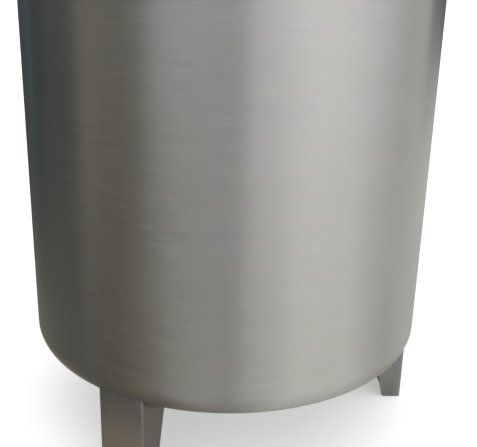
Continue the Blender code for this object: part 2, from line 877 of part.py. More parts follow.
def make_handle(steel):
    """A bent round rod that stands on the lid's dome."""
    ball = (LID_DOME_RADIUS**2 + LID_DOME_RISE**2) / (2 * LID_DOME_RISE)
    inner_edge = HANDLE_HALF_WIDTH - HANDLE_ROD
    foot = LID_TOP + LID_DOME_RISE - ball + math.sqrt(ball**2 - inner_edge**2) + GAP
    top = foot + HANDLE_RISE
    inner = HANDLE_HALF_WIDTH - HANDLE_BEND
    path = [(-HANDLE_HALF_WIDTH, foot)]
    path += arc((-inner, top - HANDLE_BEND), HANDLE_BEND, 180, 90, BEND_STEPS)
    path += arc((inner, top - HANDLE_BEND), HANDLE_BEND, 90, 0, BEND_STEPS)
    path.append((HANDLE_HALF_WIDTH, foot))
    curve = bpy.data.curves.new("manway_handle", "CURVE")
    curve.dimensions = "3D"
    curve.bevel_depth = HANDLE_ROD
    curve.bevel_resolution = HANDLE_ROUNDNESS
    curve.use_fill_caps = True
    spline = curve.splines.new("POLY")
    spline.points.add(len(path) - 1)
    for point, (x, z) in zip(spline.points, path):
        point.co = (x, 0, z, 1)
    finish(bake(place("manway_handle", curve)), steel)


# Lifting lugs


def make_lugs(steel):
    """Upright plates on the top head, each with a hole for a shackle."""
    space = upside_down(head_space(HEAD_SKIRT), TOP_TANGENT)
    head = turned("head_space", space, TANK_SEGMENTS, closed=False)
    base = TOP_TANGENT + crown_height(LUG_AT + LUG_HALF_WIDTH) - PAST
    top = TOP_TANGENT + crown_height(LUG_AT) + LUG_RISE
    hole_height = top - LUG_HALF_WIDTH
    outline = [(-LUG_AT - LUG_HALF_WIDTH, base), (-LUG_AT + LUG_HALF_WIDTH, base)]
    outline += arc((-LUG_AT, hole_height), LUG_HALF_WIDTH, 0, 180, LUG_STEPS)
    lug = plate("lug", outline, LUG_PLATE, across(0))
    hole = rod(
        "hole",
        (-LUG_PLATE, -LUG_AT, hole_height),
        (LUG_PLATE, -LUG_AT, hole_height),
        LUG_HOLE,
    )
    lug = cut(lug, head, hole)
    lug.name = "lifting_lug_" + LEG_NAMES[0]
    lug = finish(lug, steel)
    for count, name in enumerate(LEG_NAMES[1:], 1):
        copy_turned(lug, "lifting_lug_" + name, count * LEG_STEP)


# The whole tank


def main():
    clear_scene()
    make_collection(PARTS)
    make_collection(CUTTERS, rendered=False)
    brushed = make_material("brushed_steel", (0.42, 0.41, 0.38), 0.34, 1.0)
    leg_steel = make_material("leg_steel", (0.34, 0.32, 0.29), 0.42, 1.0)
    fittings = make_material("fitting_steel", (0.50, 0.49, 0.47), 0.22, 1.0)
    rubber = make_material("gasket_rubber", (0.03, 0.03, 0.03), 0.70, 0.0)

    make_shell(brushed)
    make_bottom_head(brushed)
    make_top_head(brushed)
    make_legs(leg_steel)
    make_foot_plates(leg_steel)

    materials = (fittings, rubber, fittings)
    crown_at_port = TOP_TANGENT + crown_height(PORT_OFFSET)
    port_face = crown_at_port + PORT_RISE
    neck_low = TOP_TANGENT + crown_height(PORT_OFFSET + TUBE_RADIUS, SHEET) - NECK_PAST_HEAD
    high = (port_face, port_face - neck_low)
    make_port("inlet", INLET_CENTRE, *high, "_cap", cap_profile(), materials)
    make_port("vent", VENT_CENTRE, *high, "_hood", hood_profile(), materials)
    low = (BOTTOM_TANGENT - HEAD_DEPTH - OUTLET_DROP, OUTLET_DROP + SHEET)
    make_port("outlet", (0, 0), *low, "_cap", cap_profile(), materials, down=True)

    make_manway_neck(brushed)
    make_manway_gasket(rubber)
    make_manway_lid(brushed)
    make_swing_bolts(fittings, fittings)
    make_hinge(fittings, fittings)
    make_handle(fittings)
    make_lugs(brushed)


main()
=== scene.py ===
# %% [markdown]
# # A stainless storage tank and its finish
#
# The real object is a tank of rolled and brushed stainless sheet. Two dished heads are
# welded to a straight wall, the welds are ground flush, and three folded legs carry it.
# Nearly all of its look is what the brushed wall mirrors: the metal itself is one even
# grey. So this lesson spends its care on three things: smooth exact surfaces, a brushed
# finish whose lines run the right way, and a soft studio that has something to mirror.
#
# The solids of the tank are loaded first. Every new surface takes its place and its size
# from them, so nothing has to be fitted by eye.

# %% Load the solids
import math
from collections import namedtuple

import bmesh
import bpy
import numpy as np
from mathutils import Matrix, Vector


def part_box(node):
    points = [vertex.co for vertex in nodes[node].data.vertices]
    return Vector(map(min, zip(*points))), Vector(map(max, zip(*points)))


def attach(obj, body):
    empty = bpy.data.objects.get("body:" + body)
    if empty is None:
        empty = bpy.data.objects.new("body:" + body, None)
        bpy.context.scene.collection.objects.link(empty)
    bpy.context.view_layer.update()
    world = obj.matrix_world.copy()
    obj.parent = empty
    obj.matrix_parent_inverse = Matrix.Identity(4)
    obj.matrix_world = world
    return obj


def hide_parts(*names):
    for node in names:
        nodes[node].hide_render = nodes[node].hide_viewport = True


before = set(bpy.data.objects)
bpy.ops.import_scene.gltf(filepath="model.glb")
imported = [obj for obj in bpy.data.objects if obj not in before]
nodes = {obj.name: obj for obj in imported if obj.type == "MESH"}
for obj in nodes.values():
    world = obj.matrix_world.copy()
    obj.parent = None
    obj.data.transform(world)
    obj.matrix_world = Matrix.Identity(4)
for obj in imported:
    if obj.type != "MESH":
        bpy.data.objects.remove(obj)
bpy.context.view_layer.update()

# %% [markdown]
# ## The camera
#
# The photograph was taken from a little above the middle of the wall, close enough for
# the sides of the tank to lean together towards the foot. A camera can be set by eye, but
# a tank has an outline that can be computed, so its distance, height and tilt were worked
# out from that outline. The front leg stands 28 degrees to the left of the camera's
# side, and here the tank keeps its own axes, so it is the camera that walks round.

# %% Camera
SKIRT = 0.025
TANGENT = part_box("bottom_head")[1].z - SKIRT
LEG_TO_VIEW = math.radians(28.04)
CAMERA_DISTANCE = 1.8703
CAMERA_HEIGHT = TANGENT + 0.8560
CAMERA_YAW = math.radians(0.86)
CAMERA_PITCH = math.radians(18.62)
CAMERA_ROLL = math.radians(1.416)
LENS = 56.05
SENSOR = 36.0


def linked(name, data):
    """A new object of the scene, with this data."""
    made = bpy.data.objects.new(name, data)
    bpy.context.scene.collection.objects.link(made)
    return made


camera_data = bpy.data.cameras.new("photo_camera")
camera_data.lens = LENS
camera_data.sensor_width = SENSOR
camera_data.sensor_fit = "HORIZONTAL"
camera = linked("photo_camera", camera_data)
turn = Matrix.Rotation(LEG_TO_VIEW - CAMERA_YAW, 4, "Z")
tilt = Matrix.Rotation(math.pi / 2 - CAMERA_PITCH, 4, "X")
roll = Matrix.Rotation(CAMERA_ROLL, 4, "Z")
place = Vector((
    CAMERA_DISTANCE * math.sin(LEG_TO_VIEW),
    -CAMERA_DISTANCE * math.cos(LEG_TO_VIEW),
    CAMERA_HEIGHT,
))
camera.matrix_world = Matrix.Translation(place) @ turn @ tilt @ roll
bpy.context.scene.camera = camera
print("the camera stands at", [round(v, 3) for v in place])

# %% [markdown]
# ## Surfaces from grids of points
#
# Every new piece is a grid of points: rows run along its profile, columns run round it or
# across it. One function turns such grids into a mesh. Modelling the same shapes by hand
# with the Screw modifier would also work, but a grid keeps exact control of where each
# row lies, and it gives the surface its own measured coordinates for the brushed finish.
# The faces point to the side that the row direction crossed with the column direction
# points to.

# %% Points and grids


def lengths(vectors):
    """The length of each vector, kept as a column."""
    return np.linalg.norm(vectors, axis=-1, keepdims=True)


def unit(vectors):
    """Each vector divided by its length."""
    return vectors / lengths(vectors)


def far_along(points):
    """How far along a line each of its points is: the sum of the steps up to it."""
    return np.concatenate(([0.0], np.cumsum(lengths(np.diff(points, axis=0))[:, 0])))


def looped(points):
    """The points, with the first once more at the end."""
    return np.concatenate((points, points[:1]))


def grid_of(*parts):
    """A grid from its parts, x, y and z or two measures, each spread over all of it."""
    return np.stack(np.broadcast_arrays(*parts), axis=-1)


def raised(flat, height):
    """Points (x, y) and their heights as points (x, y, z)."""
    return grid_of(flat[..., 0], flat[..., 1], height)


def rings(radius, height, angle, centre=(0.0, 0.0)):
    """Points carried to every angle a: centre + (radius cos a, radius sin a), height."""
    return grid_of(centre[0] + radius * np.cos(angle), centre[1] + radius * np.sin(angle), height)


# %% Grids to meshes
WELD = 0.000005
SHARP = math.radians(35)
MEASURES = "along"


def shade(mesh):
    """Smooth shading, with every sharp fold kept."""
    mesh.shade_smooth()
    mesh.set_sharp_from_angle(angle=SHARP)


def corners_of_cells(rows, columns, first):
    """Point numbers of each cell's corners, for a grid counted row by row."""
    number = first + np.arange(rows * columns).reshape(rows, columns)
    cells = (number[:-1, :-1], number[1:, :-1], number[1:, 1:], number[:-1, 1:])
    return np.stack(cells, axis=-1).reshape(-1, 4)


def surface(name, grids, measures, caps=(), outwards=False):
    """A mesh object from one or more grids of points, welded along the edges they share.

    measures holds a grid for each grid, with the distance along the rows and along the
    columns at every point in metres. It becomes the piece's UV map. caps are flat outlines
    that close it. outwards turns all faces of a closed piece to its outside.
    """
    faces = []
    first = 0
    for grid in grids:
        faces.extend(corners_of_cells(*grid.shape[:2], first).tolist())
        first += grid.shape[0] * grid.shape[1]
    for cap in caps:
        faces.append(list(range(first, first + len(cap))))
        first += len(cap)
    points = np.concatenate([grid.reshape(-1, 3) for grid in (*grids, *caps)])
    flat = [measure.reshape(-1, 2) for measure in measures] + [cap[:, ::2] for cap in caps]
    flat = np.concatenate(flat)
    mesh = bpy.data.meshes.new(name)
    mesh.from_pydata(points.tolist(), [], faces)
    layer = mesh.uv_layers.new(name=MEASURES)
    layer.data.foreach_set("uv", flat[np.concatenate(faces)].ravel())
    work = bmesh.new()
    work.from_mesh(mesh)
    bmesh.ops.remove_doubles(work, verts=work.verts, dist=WELD)
    bmesh.ops.dissolve_degenerate(work, edges=work.edges, dist=WELD)
    if outwards:
        bmesh.ops.recalc_face_normals(work, faces=work.faces)
    work.to_mesh(mesh)
    work.free()
    shade(mesh)
    return linked(name, mesh)


def report(*pieces):
    """Prints the faces, the volume and the open edges of each piece.

    A closed piece has no open edge, and a volume above 0 when its faces point outwards.
    """
    for piece in pieces:
        work = bmesh.new()
        work.from_mesh(piece.data)
        open_edges = sum(1 for edge in work.edges if len(edge.link_faces) != 2)
        volume = work.calc_volume(signed=True) * 1e6
        work.free()
        print(f"{piece.name}: {len(piece.data.polygons)} faces, {volume:.1f} cm3, {open_edges} open edges")


def turned(name, profile, sides, centre=(0.0, 0.0), bulge=None):
    """A profile of (radius, height) points turned about a vertical axis.

    A point's place is (radius cos a, radius sin a, height) for the angle a of its column.
    A profile runs down its outer side. bulge is a function of angle and height that is
    added to the radius.
    """
    profile = np.asarray(profile, float)
    angle = np.linspace(0.0, math.tau, sides + 1)
    radius, height = profile[:, :1], profile[:, 1:]
    if bulge is not None:
        radius = radius + bulge(angle, height)
    measure = grid_of(far_along(profile)[:, None], profile[:, 0].max() * angle)
    return surface(name, [rings(radius, height, angle, centre)], [measure])


# %% [markdown]
# ## The wall and the two heads
#
# A dished head is two arcs: a wide shallow crown, and a tight knuckle that turns it up
# into a short straight skirt. Both arcs meet on one tangent, so the profile is fully set
# by the tank's radius, the knuckle's radius and the crown's. A sphere squashed to the
# right depth would look close, but its edge would be too soft: the tight knuckle is what
# draws the crisp dark line at the bottom of this tank.
#
# Rolled sheet is never a perfect cylinder. It wanders by a few tenths of a millimetre,
# which no ruler would catch and every reflection shows, so the wall gets a slow bulge that
# fades out at the welds, where the heads hold it round.

# %% Profile of a head
GAP = 0.0003
TUBE = 0.0255
MANWAY = 0.2
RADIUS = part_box("shell")[1].x
SHEET = 0.003
KNUCKLE = 0.0613
CROWN = 2 * RADIUS
KNUCKLE_CENTRE = RADIUS - KNUCKLE
CROWN_CENTRE = math.sqrt((CROWN - KNUCKLE) ** 2 - KNUCKLE_CENTRE**2)
CROWN_EDGE = math.asin(KNUCKLE_CENTRE / (CROWN - KNUCKLE))
HEAD_DEPTH = CROWN - CROWN_CENTRE
LOW_WELD = (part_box("bottom_head")[1].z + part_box("shell")[0].z) / 2
HIGH_WELD = (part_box("top_head")[0].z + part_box("shell")[1].z) / 2
TOP_TANGENT = HIGH_WELD + (LOW_WELD - TANGENT)
KNUCKLE_STEPS = 20
CROWN_STEPS = 48


def directions(angle):
    """The direction (cos, sin) at each angle."""
    return np.column_stack((np.cos(angle), np.sin(angle)))


def arc(centre, radius, start, end, steps):
    """Points at even angles on an arc: the centre plus the radius times (cos, sin)."""
    return np.asarray(centre) + radius * directions(np.linspace(start, end, steps + 1))


def head_line(inset, hole, skirt):
    """One side of a bottom head, from the top of its skirt down to the edge of a hole.

    Height 0 is the tangent line. inset moves the line towards the inside of the tank.
    """
    bend = CROWN_EDGE - math.pi / 2
    edge = -math.acos(hole / (CROWN - inset))
    rim = np.linspace((RADIUS - inset, skirt), (RADIUS - inset, 0.0), 3)[:-1]
    knuckle = arc((KNUCKLE_CENTRE, 0.0), KNUCKLE - inset, 0.0, bend, KNUCKLE_STEPS)
    crown = arc((0.0, CROWN_CENTRE), CROWN - inset, bend, edge, CROWN_STEPS)[1:]
    return np.concatenate((rim, knuckle, crown))


def crown_drop(radius):
    """How far the bottom head's outer side lies below the tangent line at a radius."""
    on_knuckle = np.sqrt(np.clip(KNUCKLE**2 - (radius - KNUCKLE_CENTRE) ** 2, 0.0, None))
    on_crown = np.sqrt(CROWN**2 - radius**2) - CROWN_CENTRE
    return np.where(radius > CROWN * math.sin(CROWN_EDGE), on_knuckle, on_crown)


print(f"the heads are {HEAD_DEPTH:.4f} m deep and the wall is {HIGH_WELD - LOW_WELD:.4f} m high")

# %% Wall and heads
AROUND = 288
OUTER_ROWS = 61
INNER_ROWS = 13
RIPPLES = np.array((
    # size in metres, waves round the tank, turns of phase over its height, phase
    (0.00026, 5.0, 0.7, 0.4),
    (0.00018, 8.0, -1.1, 2.1),
    (0.00012, 13.0, 0.9, 4.0),
))
OUTLET_HOLE = TUBE + GAP
MANWAY_HOLE = MANWAY + GAP


def sheet_bulge(angle, height):
    """Sum of three slow waves, size sin(waves angle + turns height + phase), still at the welds."""
    level = np.clip((height - LOW_WELD) / (HIGH_WELD - LOW_WELD), 0.0, 1.0)
    hold = np.sin(math.pi * level) ** 0.5
    waves = (size * np.sin(count * angle + math.tau * turns * level + phase)
             for size, count, turns, phase in RIPPLES)
    return sum(waves) * hold


def head_profile(hole):
    """A bottom head's closed profile: its outer side down, and its inner side back up."""
    outside, inside = (head_line(inset, hole, LOW_WELD - TANGENT) for inset in (0.0, SHEET))
    return looped(np.concatenate((outside, inside[::-1])))


outer = np.linspace((RADIUS, HIGH_WELD), (RADIUS, LOW_WELD), OUTER_ROWS)
inner = np.linspace((RADIUS - SHEET, LOW_WELD), (RADIUS - SHEET, HIGH_WELD), INNER_ROWS)
wall = turned("tank_wall", looped(np.concatenate((outer, inner))), AROUND, bulge=sheet_bulge)
lower_head = turned("lower_head", head_profile(OUTLET_HOLE) + (0.0, TANGENT), AROUND)
high_profile = head_profile(MANWAY_HOLE)[::-1] * (1.0, -1.0) + (0.0, TOP_TANGENT)
upper_head = turned("upper_head", high_profile, AROUND)
report(wall, lower_head, upper_head)

# %% [markdown]
# ## The legs
#
# Each leg is one plate, cut to a taper and folded twice: a wide web outside, a flange at
# each side. The folds have a real radius, half as much again as the plate's thickness, and
# that round corner is what catches the light as a thin bright line down the leg. A box
# with bevelled edges would miss it.
#
# The grid follows the folded plate once round its cross section, outside and back along
# the inside. Each column is then as tall as the head above it allows. The flanges slant,
# so how far out a column stands depends on its height, which depends on how far out it
# stands. A few rounds of putting one into the other settle it.

# %% The folded plate
LEG_FACE = -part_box("leg_front")[0].y
LEG_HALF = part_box("leg_front")[1].x
PLATE = 0.004
BEND = 0.006
FLANGE_AT_TOP = 0.110
FLANGE_AT_FOOT = 0.051
FOOT_CORNER = 0.007
FLANGE_COLUMNS = 11
WEB_COLUMNS = 7
BEND_COLUMNS = 8
SETTLING_ROUNDS = 40


def flange_end(height):
    """Where the flanges end along y: a slanted line that turns in by a circle at the foot."""
    line = -LEG_FACE + FLANGE_AT_FOOT + (FLANGE_AT_TOP - FLANGE_AT_FOOT) * height / TANGENT
    below = np.clip(FOOT_CORNER - height, 0.0, None)
    return line - (FOOT_CORNER - np.sqrt(FOOT_CORNER**2 - below**2))


def leg_path(inset):
    """The folded plate seen from above, as (x, y, share) from the left flange to the right.

    share is how far out on its flange a point is, from 0 at the fold to 1 at the free edge.
    """
    fold = LEG_HALF - BEND
    back = -LEG_FACE + BEND
    side = LEG_HALF - inset
    face = back - BEND + inset
    left = np.linspace((-side, back, 1.0), (-side, back, 0.0), FLANGE_COLUMNS + 1)[:-1]
    middle = np.concatenate((
        arc((-fold, back), BEND - inset, math.pi, 1.5 * math.pi, BEND_COLUMNS),
        np.linspace((-fold, face), (fold, face), WEB_COLUMNS + 2)[1:-1],
        arc((fold, back), BEND - inset, 1.5 * math.pi, math.tau, BEND_COLUMNS),
    ))
    middle = np.column_stack((middle, np.zeros(len(middle))))
    return np.concatenate((left, middle, left[::-1] * (-1.0, 1.0, 1.0)))


def leg_place(path, height):
    """Where the points of the path stand at a height: y moves out with the flange's end."""
    x, y, share = path.T
    reach = flange_end(height) - (-LEG_FACE + BEND)
    return x + 0.0 * height, y + share * reach


def leg_top(path):
    """Height at which the head stands over each point: place and height put into each other."""
    height = np.full(len(path), TANGENT)
    for _ in range(SETTLING_ROUNDS):
        x, y = leg_place(path, height)
        height = TANGENT - crown_drop(np.hypot(x, y))
    return height


# %% Legs
LEG_ROWS = 45
ROW_SPREAD = 1.6
EASE_STEPS = 2
LEG_EASE = 0.0006
LEG_EDGE = math.radians(50)
LEG_NAMES = ("front", "back_right", "back_left")
LEG_STEP = math.tau / len(LEG_NAMES)


def turned_about(angle, points):
    """Points turned about the tank's axis: x cos a - y sin a and x sin a + y cos a, z as it is."""
    c, s = math.cos(angle), math.sin(angle)
    flat = points[..., :2] @ np.array(((c, s), (-s, c)))
    return np.concatenate((flat, points[..., 2:]), axis=-1)


def ease_edges(piece, width, edge_angle):
    """Gives a piece a small Bevel on the edges that are sharper than an angle."""
    bevel = piece.modifiers.new("Eased edges", "BEVEL")
    bevel.width = width
    bevel.segments = EASE_STEPS
    bevel.limit_method = "ANGLE"
    bevel.angle_limit = edge_angle


def make_leg(name, angle):
    """The plate's loop, outside and back inside, carried from the head down to the floor.

    Two more grids close it, from the inner line to the outer at the top and back at the foot.
    """
    outside = leg_path(0.0)
    count = len(outside)
    loop = looped(np.concatenate((outside, leg_path(PLATE)[::-1])))
    level = np.linspace(1.0, 0.0, LEG_ROWS)[:, None] ** ROW_SPREAD
    height = leg_top(loop) * level
    sides = grid_of(*leg_place(loop, height), height)
    around = far_along(sides[0, :, :2])
    measure = grid_of(around - around[count - 1] / 2, height[0] - height)
    closing = []
    for grid in (sides, measure):
        outer, inner = grid[:, :count], grid[:, count:2 * count][:, ::-1]
        closing.append((grid, np.stack((inner[0], outer[0])), np.stack((outer[-1], inner[-1]))))
    grids, measures = closing
    leg = surface(name, [turned_about(angle, grid) for grid in grids], measures)
    ease_edges(leg, LEG_EASE, LEG_EDGE)
    return leg


legs = [make_leg("folded_leg_" + name, count * LEG_STEP) for count, name in enumerate(LEG_NAMES)]
report(*legs)

# %% [markdown]
# ## Materials from nodes
#
# Adding nodes one by one is long to read, so a few small helpers keep it short. Two carry
# the others: add makes any node with its settings and links, and calc makes one step of
# arithmetic.

# %% Node helpers


def feed(tree, node, inputs):
    """Gives each named socket of a node its value, or the socket that feeds it."""
    for key, value in inputs.items():
        if isinstance(value, bpy.types.NodeSocket):
            tree.links.new(value, node.inputs[key])
        else:
            node.inputs[key].default_value = value


def add(tree, kind, inputs=None, **settings):
    """Adds a node with its settings and its inputs."""
    node = tree.nodes.new(kind)
    for key, value in settings.items():
        setattr(node, key, value)
    feed(tree, node, inputs or {})
    return node


def calc(tree, operation, *values):
    """One step of arithmetic, which gives its result's socket."""
    return add(tree, "ShaderNodeMath", dict(enumerate(values)), operation=operation).outputs[0]


def product(tree, first, *others):
    """All the values multiplied."""
    for other in others:
        first = calc(tree, "MULTIPLY", first, other)
    return first


def varied(tree, base, *shares):
    """The base plus each value times its share."""
    for value, share in shares:
        base = calc(tree, "MULTIPLY_ADD", value, share, base)
    return base


def less(tree, value, share=1.0):
    """1 less the value's share."""
    return calc(tree, "MULTIPLY_ADD", value, -share, 1.0)


def split(tree, vector):
    """The three parts of a vector."""
    return add(tree, "ShaderNodeSeparateXYZ", {0: vector}).outputs


def on_piece(tree):
    """The place on a piece in metres, from its Object coordinates."""
    return add(tree, "ShaderNodeTexCoord").outputs["Object"]


def measures_on(tree):
    """A piece's own measures: the distances along its rows and along its columns."""
    return split(tree, add(tree, "ShaderNodeUVMap", uv_map=MEASURES).outputs[0])


def blend(tree, share, first, second):
    """The first colour, replaced by a share of the second."""
    both = {key: colour if isinstance(colour, bpy.types.NodeSocket) else (*colour, 1.0)
            for key, colour in (("A", first), ("B", second))}
    return add(tree, "ShaderNodeMix", {"Factor": share, **both}, data_type="RGBA").outputs["Result"]


def scaled(tree, colour, light):
    """The colour times the light."""
    made = add(tree, "ShaderNodeVectorMath", {0: colour, "Scale": light}, operation="SCALE")
    return made.outputs[0]


def bumped(tree, height, strength, depth):
    """The normal of a relief whose heights, from -1 to 1, are worth depth metres each."""
    relief = {"Height": height, "Strength": strength, "Distance": depth}
    return add(tree, "ShaderNodeBump", relief).outputs[0]


# %% Materials and patterns


def empty_material(name):
    """A material with a bare Principled shader, its tree and that shader."""
    material = bpy.data.materials.new(name)
    material.use_nodes = True
    tree = material.node_tree
    return material, tree, tree.nodes["Principled BSDF"]


def noise(tree, vector, scale, detail=2.0, roughness=0.5):
    """Noise between -1 and 1."""
    made = add(tree, "ShaderNodeTexNoise", {
        "Vector": vector, "Scale": scale, "Detail": detail, "Roughness": roughness,
    })
    return calc(tree, "MULTIPLY_ADD", made.outputs[0], 2.0, -1.0)


def soft_step(tree, value, start, end):
    """0 before start and 1 after end, with no corner between them."""
    made = add(tree, "ShaderNodeMapRange", {
        "Value": value, "From Min": start, "From Max": end, "To Min": 0.0, "To Max": 1.0,
    }, interpolation_type="SMOOTHSTEP")
    return made.outputs[0]


# %% [markdown]
# ## Brushed steel
#
# A grinding belt leaves thousands of fine grooves that run with its travel: round the
# wall, and along a leg. Light bounces off grooves like these in a fan across them, so a
# reflection stays fairly sharp along the grooves and is drawn out across them. That is
# anisotropy. The Tangent node reads the piece's own UV map, whose first coordinate runs
# across the grooves, so the fan opens the right way on every piece.
#
# The grooves themselves are noise, stretched: slow along the groove and quick across it.
# The slow part is read from Object coordinates, which have no seam where the grid closes.
# Three sizes are laid over each other, from single grooves up to the wide passes of the
# belt. A hand-held belt never bites evenly, so the middle size comes and goes in patches,
# which are strongest over the legs, and the steel's tint wanders a little. A few specks
# and slanted scratches break the pattern.
#
# The legs share this material with other values, and get three more layers. The web is
# darker and has dust near the floor, and the right flange has some dust too. Painted shade
# darkens the right flange and its fold, and the left flange towards its free edge and the
# floor, and a painted shadow lies under the head. Each layer is a mask on the leg's own UV
# map: the first coordinate is 0 in the middle of the web, and the second is the distance
# below the head.

# %% Grooves, specks and scratches
Grooves = namedtuple("Grooves", "slow fine middle wide")
ROUND_GROOVES = Grooves(slow=11.0, fine=1300.0, middle=190.0, wide=24.0)
LEG_GROOVES = Grooves(slow=9.0, fine=1600.0, middle=420.0, wide=60.0)
TURNED_GROOVES = Grooves(slow=20.0, fine=4000.0, middle=1100.0, wide=150.0)
SPECKS_PER_METRE = 26.0
SPECK_SIZE = 0.035
SPECK_SHARE = 0.1
SPECK_DARK = 0.25
SCRATCH_SLANT = (0.5, 0.35, 0.3)
SCRATCH_STRETCH = (3.0, 3.0, 60.0)
SCRATCH_WIDTH = 0.02
SCRATCH_PATCHES = 5.0
SCRATCH_START, SCRATCH_FULL = 0.30, 0.42
SCRATCH_LIGHT = 0.07


def groove_vector(tree, across, slow, quick):
    """Object coordinates slowed down, with the measure across the grooves sped up."""
    place = split(tree, on_piece(tree))
    joined = {count: product(tree, place[axis], slow) for count, axis in enumerate(across)}
    joined[2] = product(tree, measures_on(tree)[0], quick)
    return add(tree, "ShaderNodeCombineXYZ", joined).outputs[0]


def specks(tree, place):
    """Small dots: one cell in ten has one, as wide as its distance allows."""
    cells = add(tree, "ShaderNodeTexVoronoi", {"Vector": place, "Scale": SPECKS_PER_METRE}).outputs
    chosen = calc(tree, "LESS_THAN", split(tree, cells["Color"])[0], SPECK_SHARE)
    return product(tree, chosen, calc(tree, "LESS_THAN", cells["Distance"], SPECK_SIZE))


def scratches(tree, place):
    """Rare fine lines on a slant: where a stretched noise passes through zero."""
    slanted = add(tree, "ShaderNodeMapping", {
        "Vector": place, "Rotation": SCRATCH_SLANT, "Scale": SCRATCH_STRETCH,
    }).outputs[0]
    line = calc(tree, "ABSOLUTE", noise(tree, slanted, 1.0, 1.0))
    rare = soft_step(tree, noise(tree, place, SCRATCH_PATCHES), SCRATCH_START, SCRATCH_FULL)
    return product(tree, soft_step(tree, line, SCRATCH_WIDTH, 0.0), rare)


def tinted(tree, vector, colour, size):
    """The colour with each of its parts raised or lowered by its own slow noise."""
    made = add(tree, "ShaderNodeTexNoise", {"Vector": vector, "Scale": 1.0, "Detail": 3.0})
    shift = add(tree, "ShaderNodeVectorMath", {
        0: made.outputs["Color"], 1: (size,) * 3, 2: (1 - size / 2,) * 3,
    }, operation="MULTIPLY_ADD")
    made = add(tree, "ShaderNodeVectorMath", {0: colour, 1: shift.outputs[0]}, operation="MULTIPLY")
    return made.outputs[0]


# %% Brushed steel
# how fine each pattern is, in cells for each metre
CLOUDS = 3.1
STAINS = 1.7
PATCHES = 7.5
STROKES = 45.0
# where patches and strokes begin and where they are full
PATCH_START, PATCH_FULL = -0.30, 0.60
STROKE_EDGE = 0.3
# how much each pattern changes the light, the colour, the roughness and the relief
FINE_LIGHT = 0.04
SMEAR_LIGHT = 0.16
WIDE_LIGHT = 0.03
CLOUD_LIGHT = 0.03
STAIN_MIDDLE, STAIN_SWING = 0.4, 0.6
TINT = 0.07
OVER_LEGS = 0.4
SMEAR_LEAST, SMEAR_SWING = 0.20, 1.2
SMEAR_ROUGH = 0.06
CLOUD_ROUGH = 0.03
FINE_RELIEF = 0.3
RELIEF = 0.5
RELIEF_DEPTH = 0.00006


def belt_bite(tree, place, across, grooves):
    """How deep the belt bit, from 0 to 1: patches, strongest over the legs, of short strokes."""
    x, y, _ = split(tree, place)
    waves = calc(tree, "SINE", product(tree, calc(tree, "ARCTAN2", y, x), len(LEG_NAMES)))
    patches = calc(tree, "ADD", noise(tree, place, PATCHES, 3.0, 0.6), product(tree, waves, OVER_LEGS))
    strokes = noise(tree, groove_vector(tree, across, 1.4 * grooves.slow, STROKES), 1.0)
    return product(tree, soft_step(tree, patches, PATCH_START, PATCH_FULL),
                   soft_step(tree, strokes, -STROKE_EDGE, STROKE_EDGE))


def brushed_steel(name, colour, stain, roughness, grooves, across=(0, 1), anisotropy=0.9, folded=False):
    """Steel with grooves of three sizes, in patches, with a faint stain, specks and scratches.

    The grooves of middle size come and go in patches round the tank. across names the axes
    that run along the grooves. A folded leg also gets its painted shade and its dust.
    """
    material, tree, shader = empty_material(name)
    place = on_piece(tree)
    slow = grooves.slow
    fine = noise(tree, groove_vector(tree, across, 3.0 * slow, grooves.fine), 1.0, 2.0, 0.6)
    middle = noise(tree, groove_vector(tree, across, slow, grooves.middle), 1.0, 2.5, 0.65)
    wide = noise(tree, groove_vector(tree, across, 0.5 * slow, grooves.wide), 1.0)
    cloud = noise(tree, place, CLOUDS, 4.0, 0.6)
    bite = belt_bite(tree, place, across, grooves)
    smear = product(tree, middle, varied(tree, SMEAR_LEAST, (bite, SMEAR_SWING)))
    light = varied(
        tree, 1.0, (fine, FINE_LIGHT), (smear, SMEAR_LIGHT), (wide, WIDE_LIGHT), (cloud, CLOUD_LIGHT),
        (specks(tree, place), -SPECK_DARK), (scratches(tree, place), SCRATCH_LIGHT))

    share = varied(tree, STAIN_MIDDLE, (noise(tree, place, STAINS, 3.0), STAIN_SWING))
    stained = blend(tree, share, colour, stain)
    metal = 1.0
    if folded:
        # the leg's painted shade and painted shadow darken its colour here
        light = product(tree, light, leg_painted_shade(tree))
        dusty = leg_dust(tree, place, cloud)
        metal = less(tree, dusty)
        stained = blend(tree, product(tree, dusty, DUST_STAIN), stained, DUST)
    stained = tinted(tree, groove_vector(tree, across, slow, grooves.wide), stained, TINT)
    feed(tree, shader, {
        "Base Color": scaled(tree, stained, light),
        "Metallic": metal,
        "Roughness": varied(tree, roughness, (smear, SMEAR_ROUGH), (cloud, CLOUD_ROUGH)),
        "Normal": bumped(tree, varied(tree, smear, (fine, FINE_RELIEF)), RELIEF, RELIEF_DEPTH),
        "Tangent": add(tree, "ShaderNodeTangent", direction_type="UV_MAP", uv_map=MEASURES).outputs[0],
        "Anisotropic": anisotropy,
    })
    return material


# %% Layers of the legs
# a leg's layers of dust, painted shade and painted shadow: heights and distances in metres, shares, and
# the colour of the dust
DUST_TOP = 0.235
DUST_FULL = 0.10
DUST_LEAST = 0.30
DUST_COVER = 0.28
DUST_STAIN = 1.8
DUST_CLOUD = 0.5
DUST = (0.50, 0.380, 0.215)
FLANGE_DUST = 0.5
# how much darker the web is, and how much painted shade the right fold and flange get
WEB_DARKER = 0.28
FLANGE_SHADE = 0.51
FOLD_SHADE = 0.37
# a painted shadow under the head: how far below it it reaches, and how dark it is on the web and on the
# right flange
HEAD_SHADOW_START = 0.004
HEAD_SHADOW_END = 0.012
HEAD_SHADOW = 0.14
HEAD_SHADOW_RIGHT = 0.36
# painted shade on the left flange: where it starts and ends below the head, and how dark it is
LOW_START = 0.10
LOW_END = 0.27
LOW_SHADE = 0.46


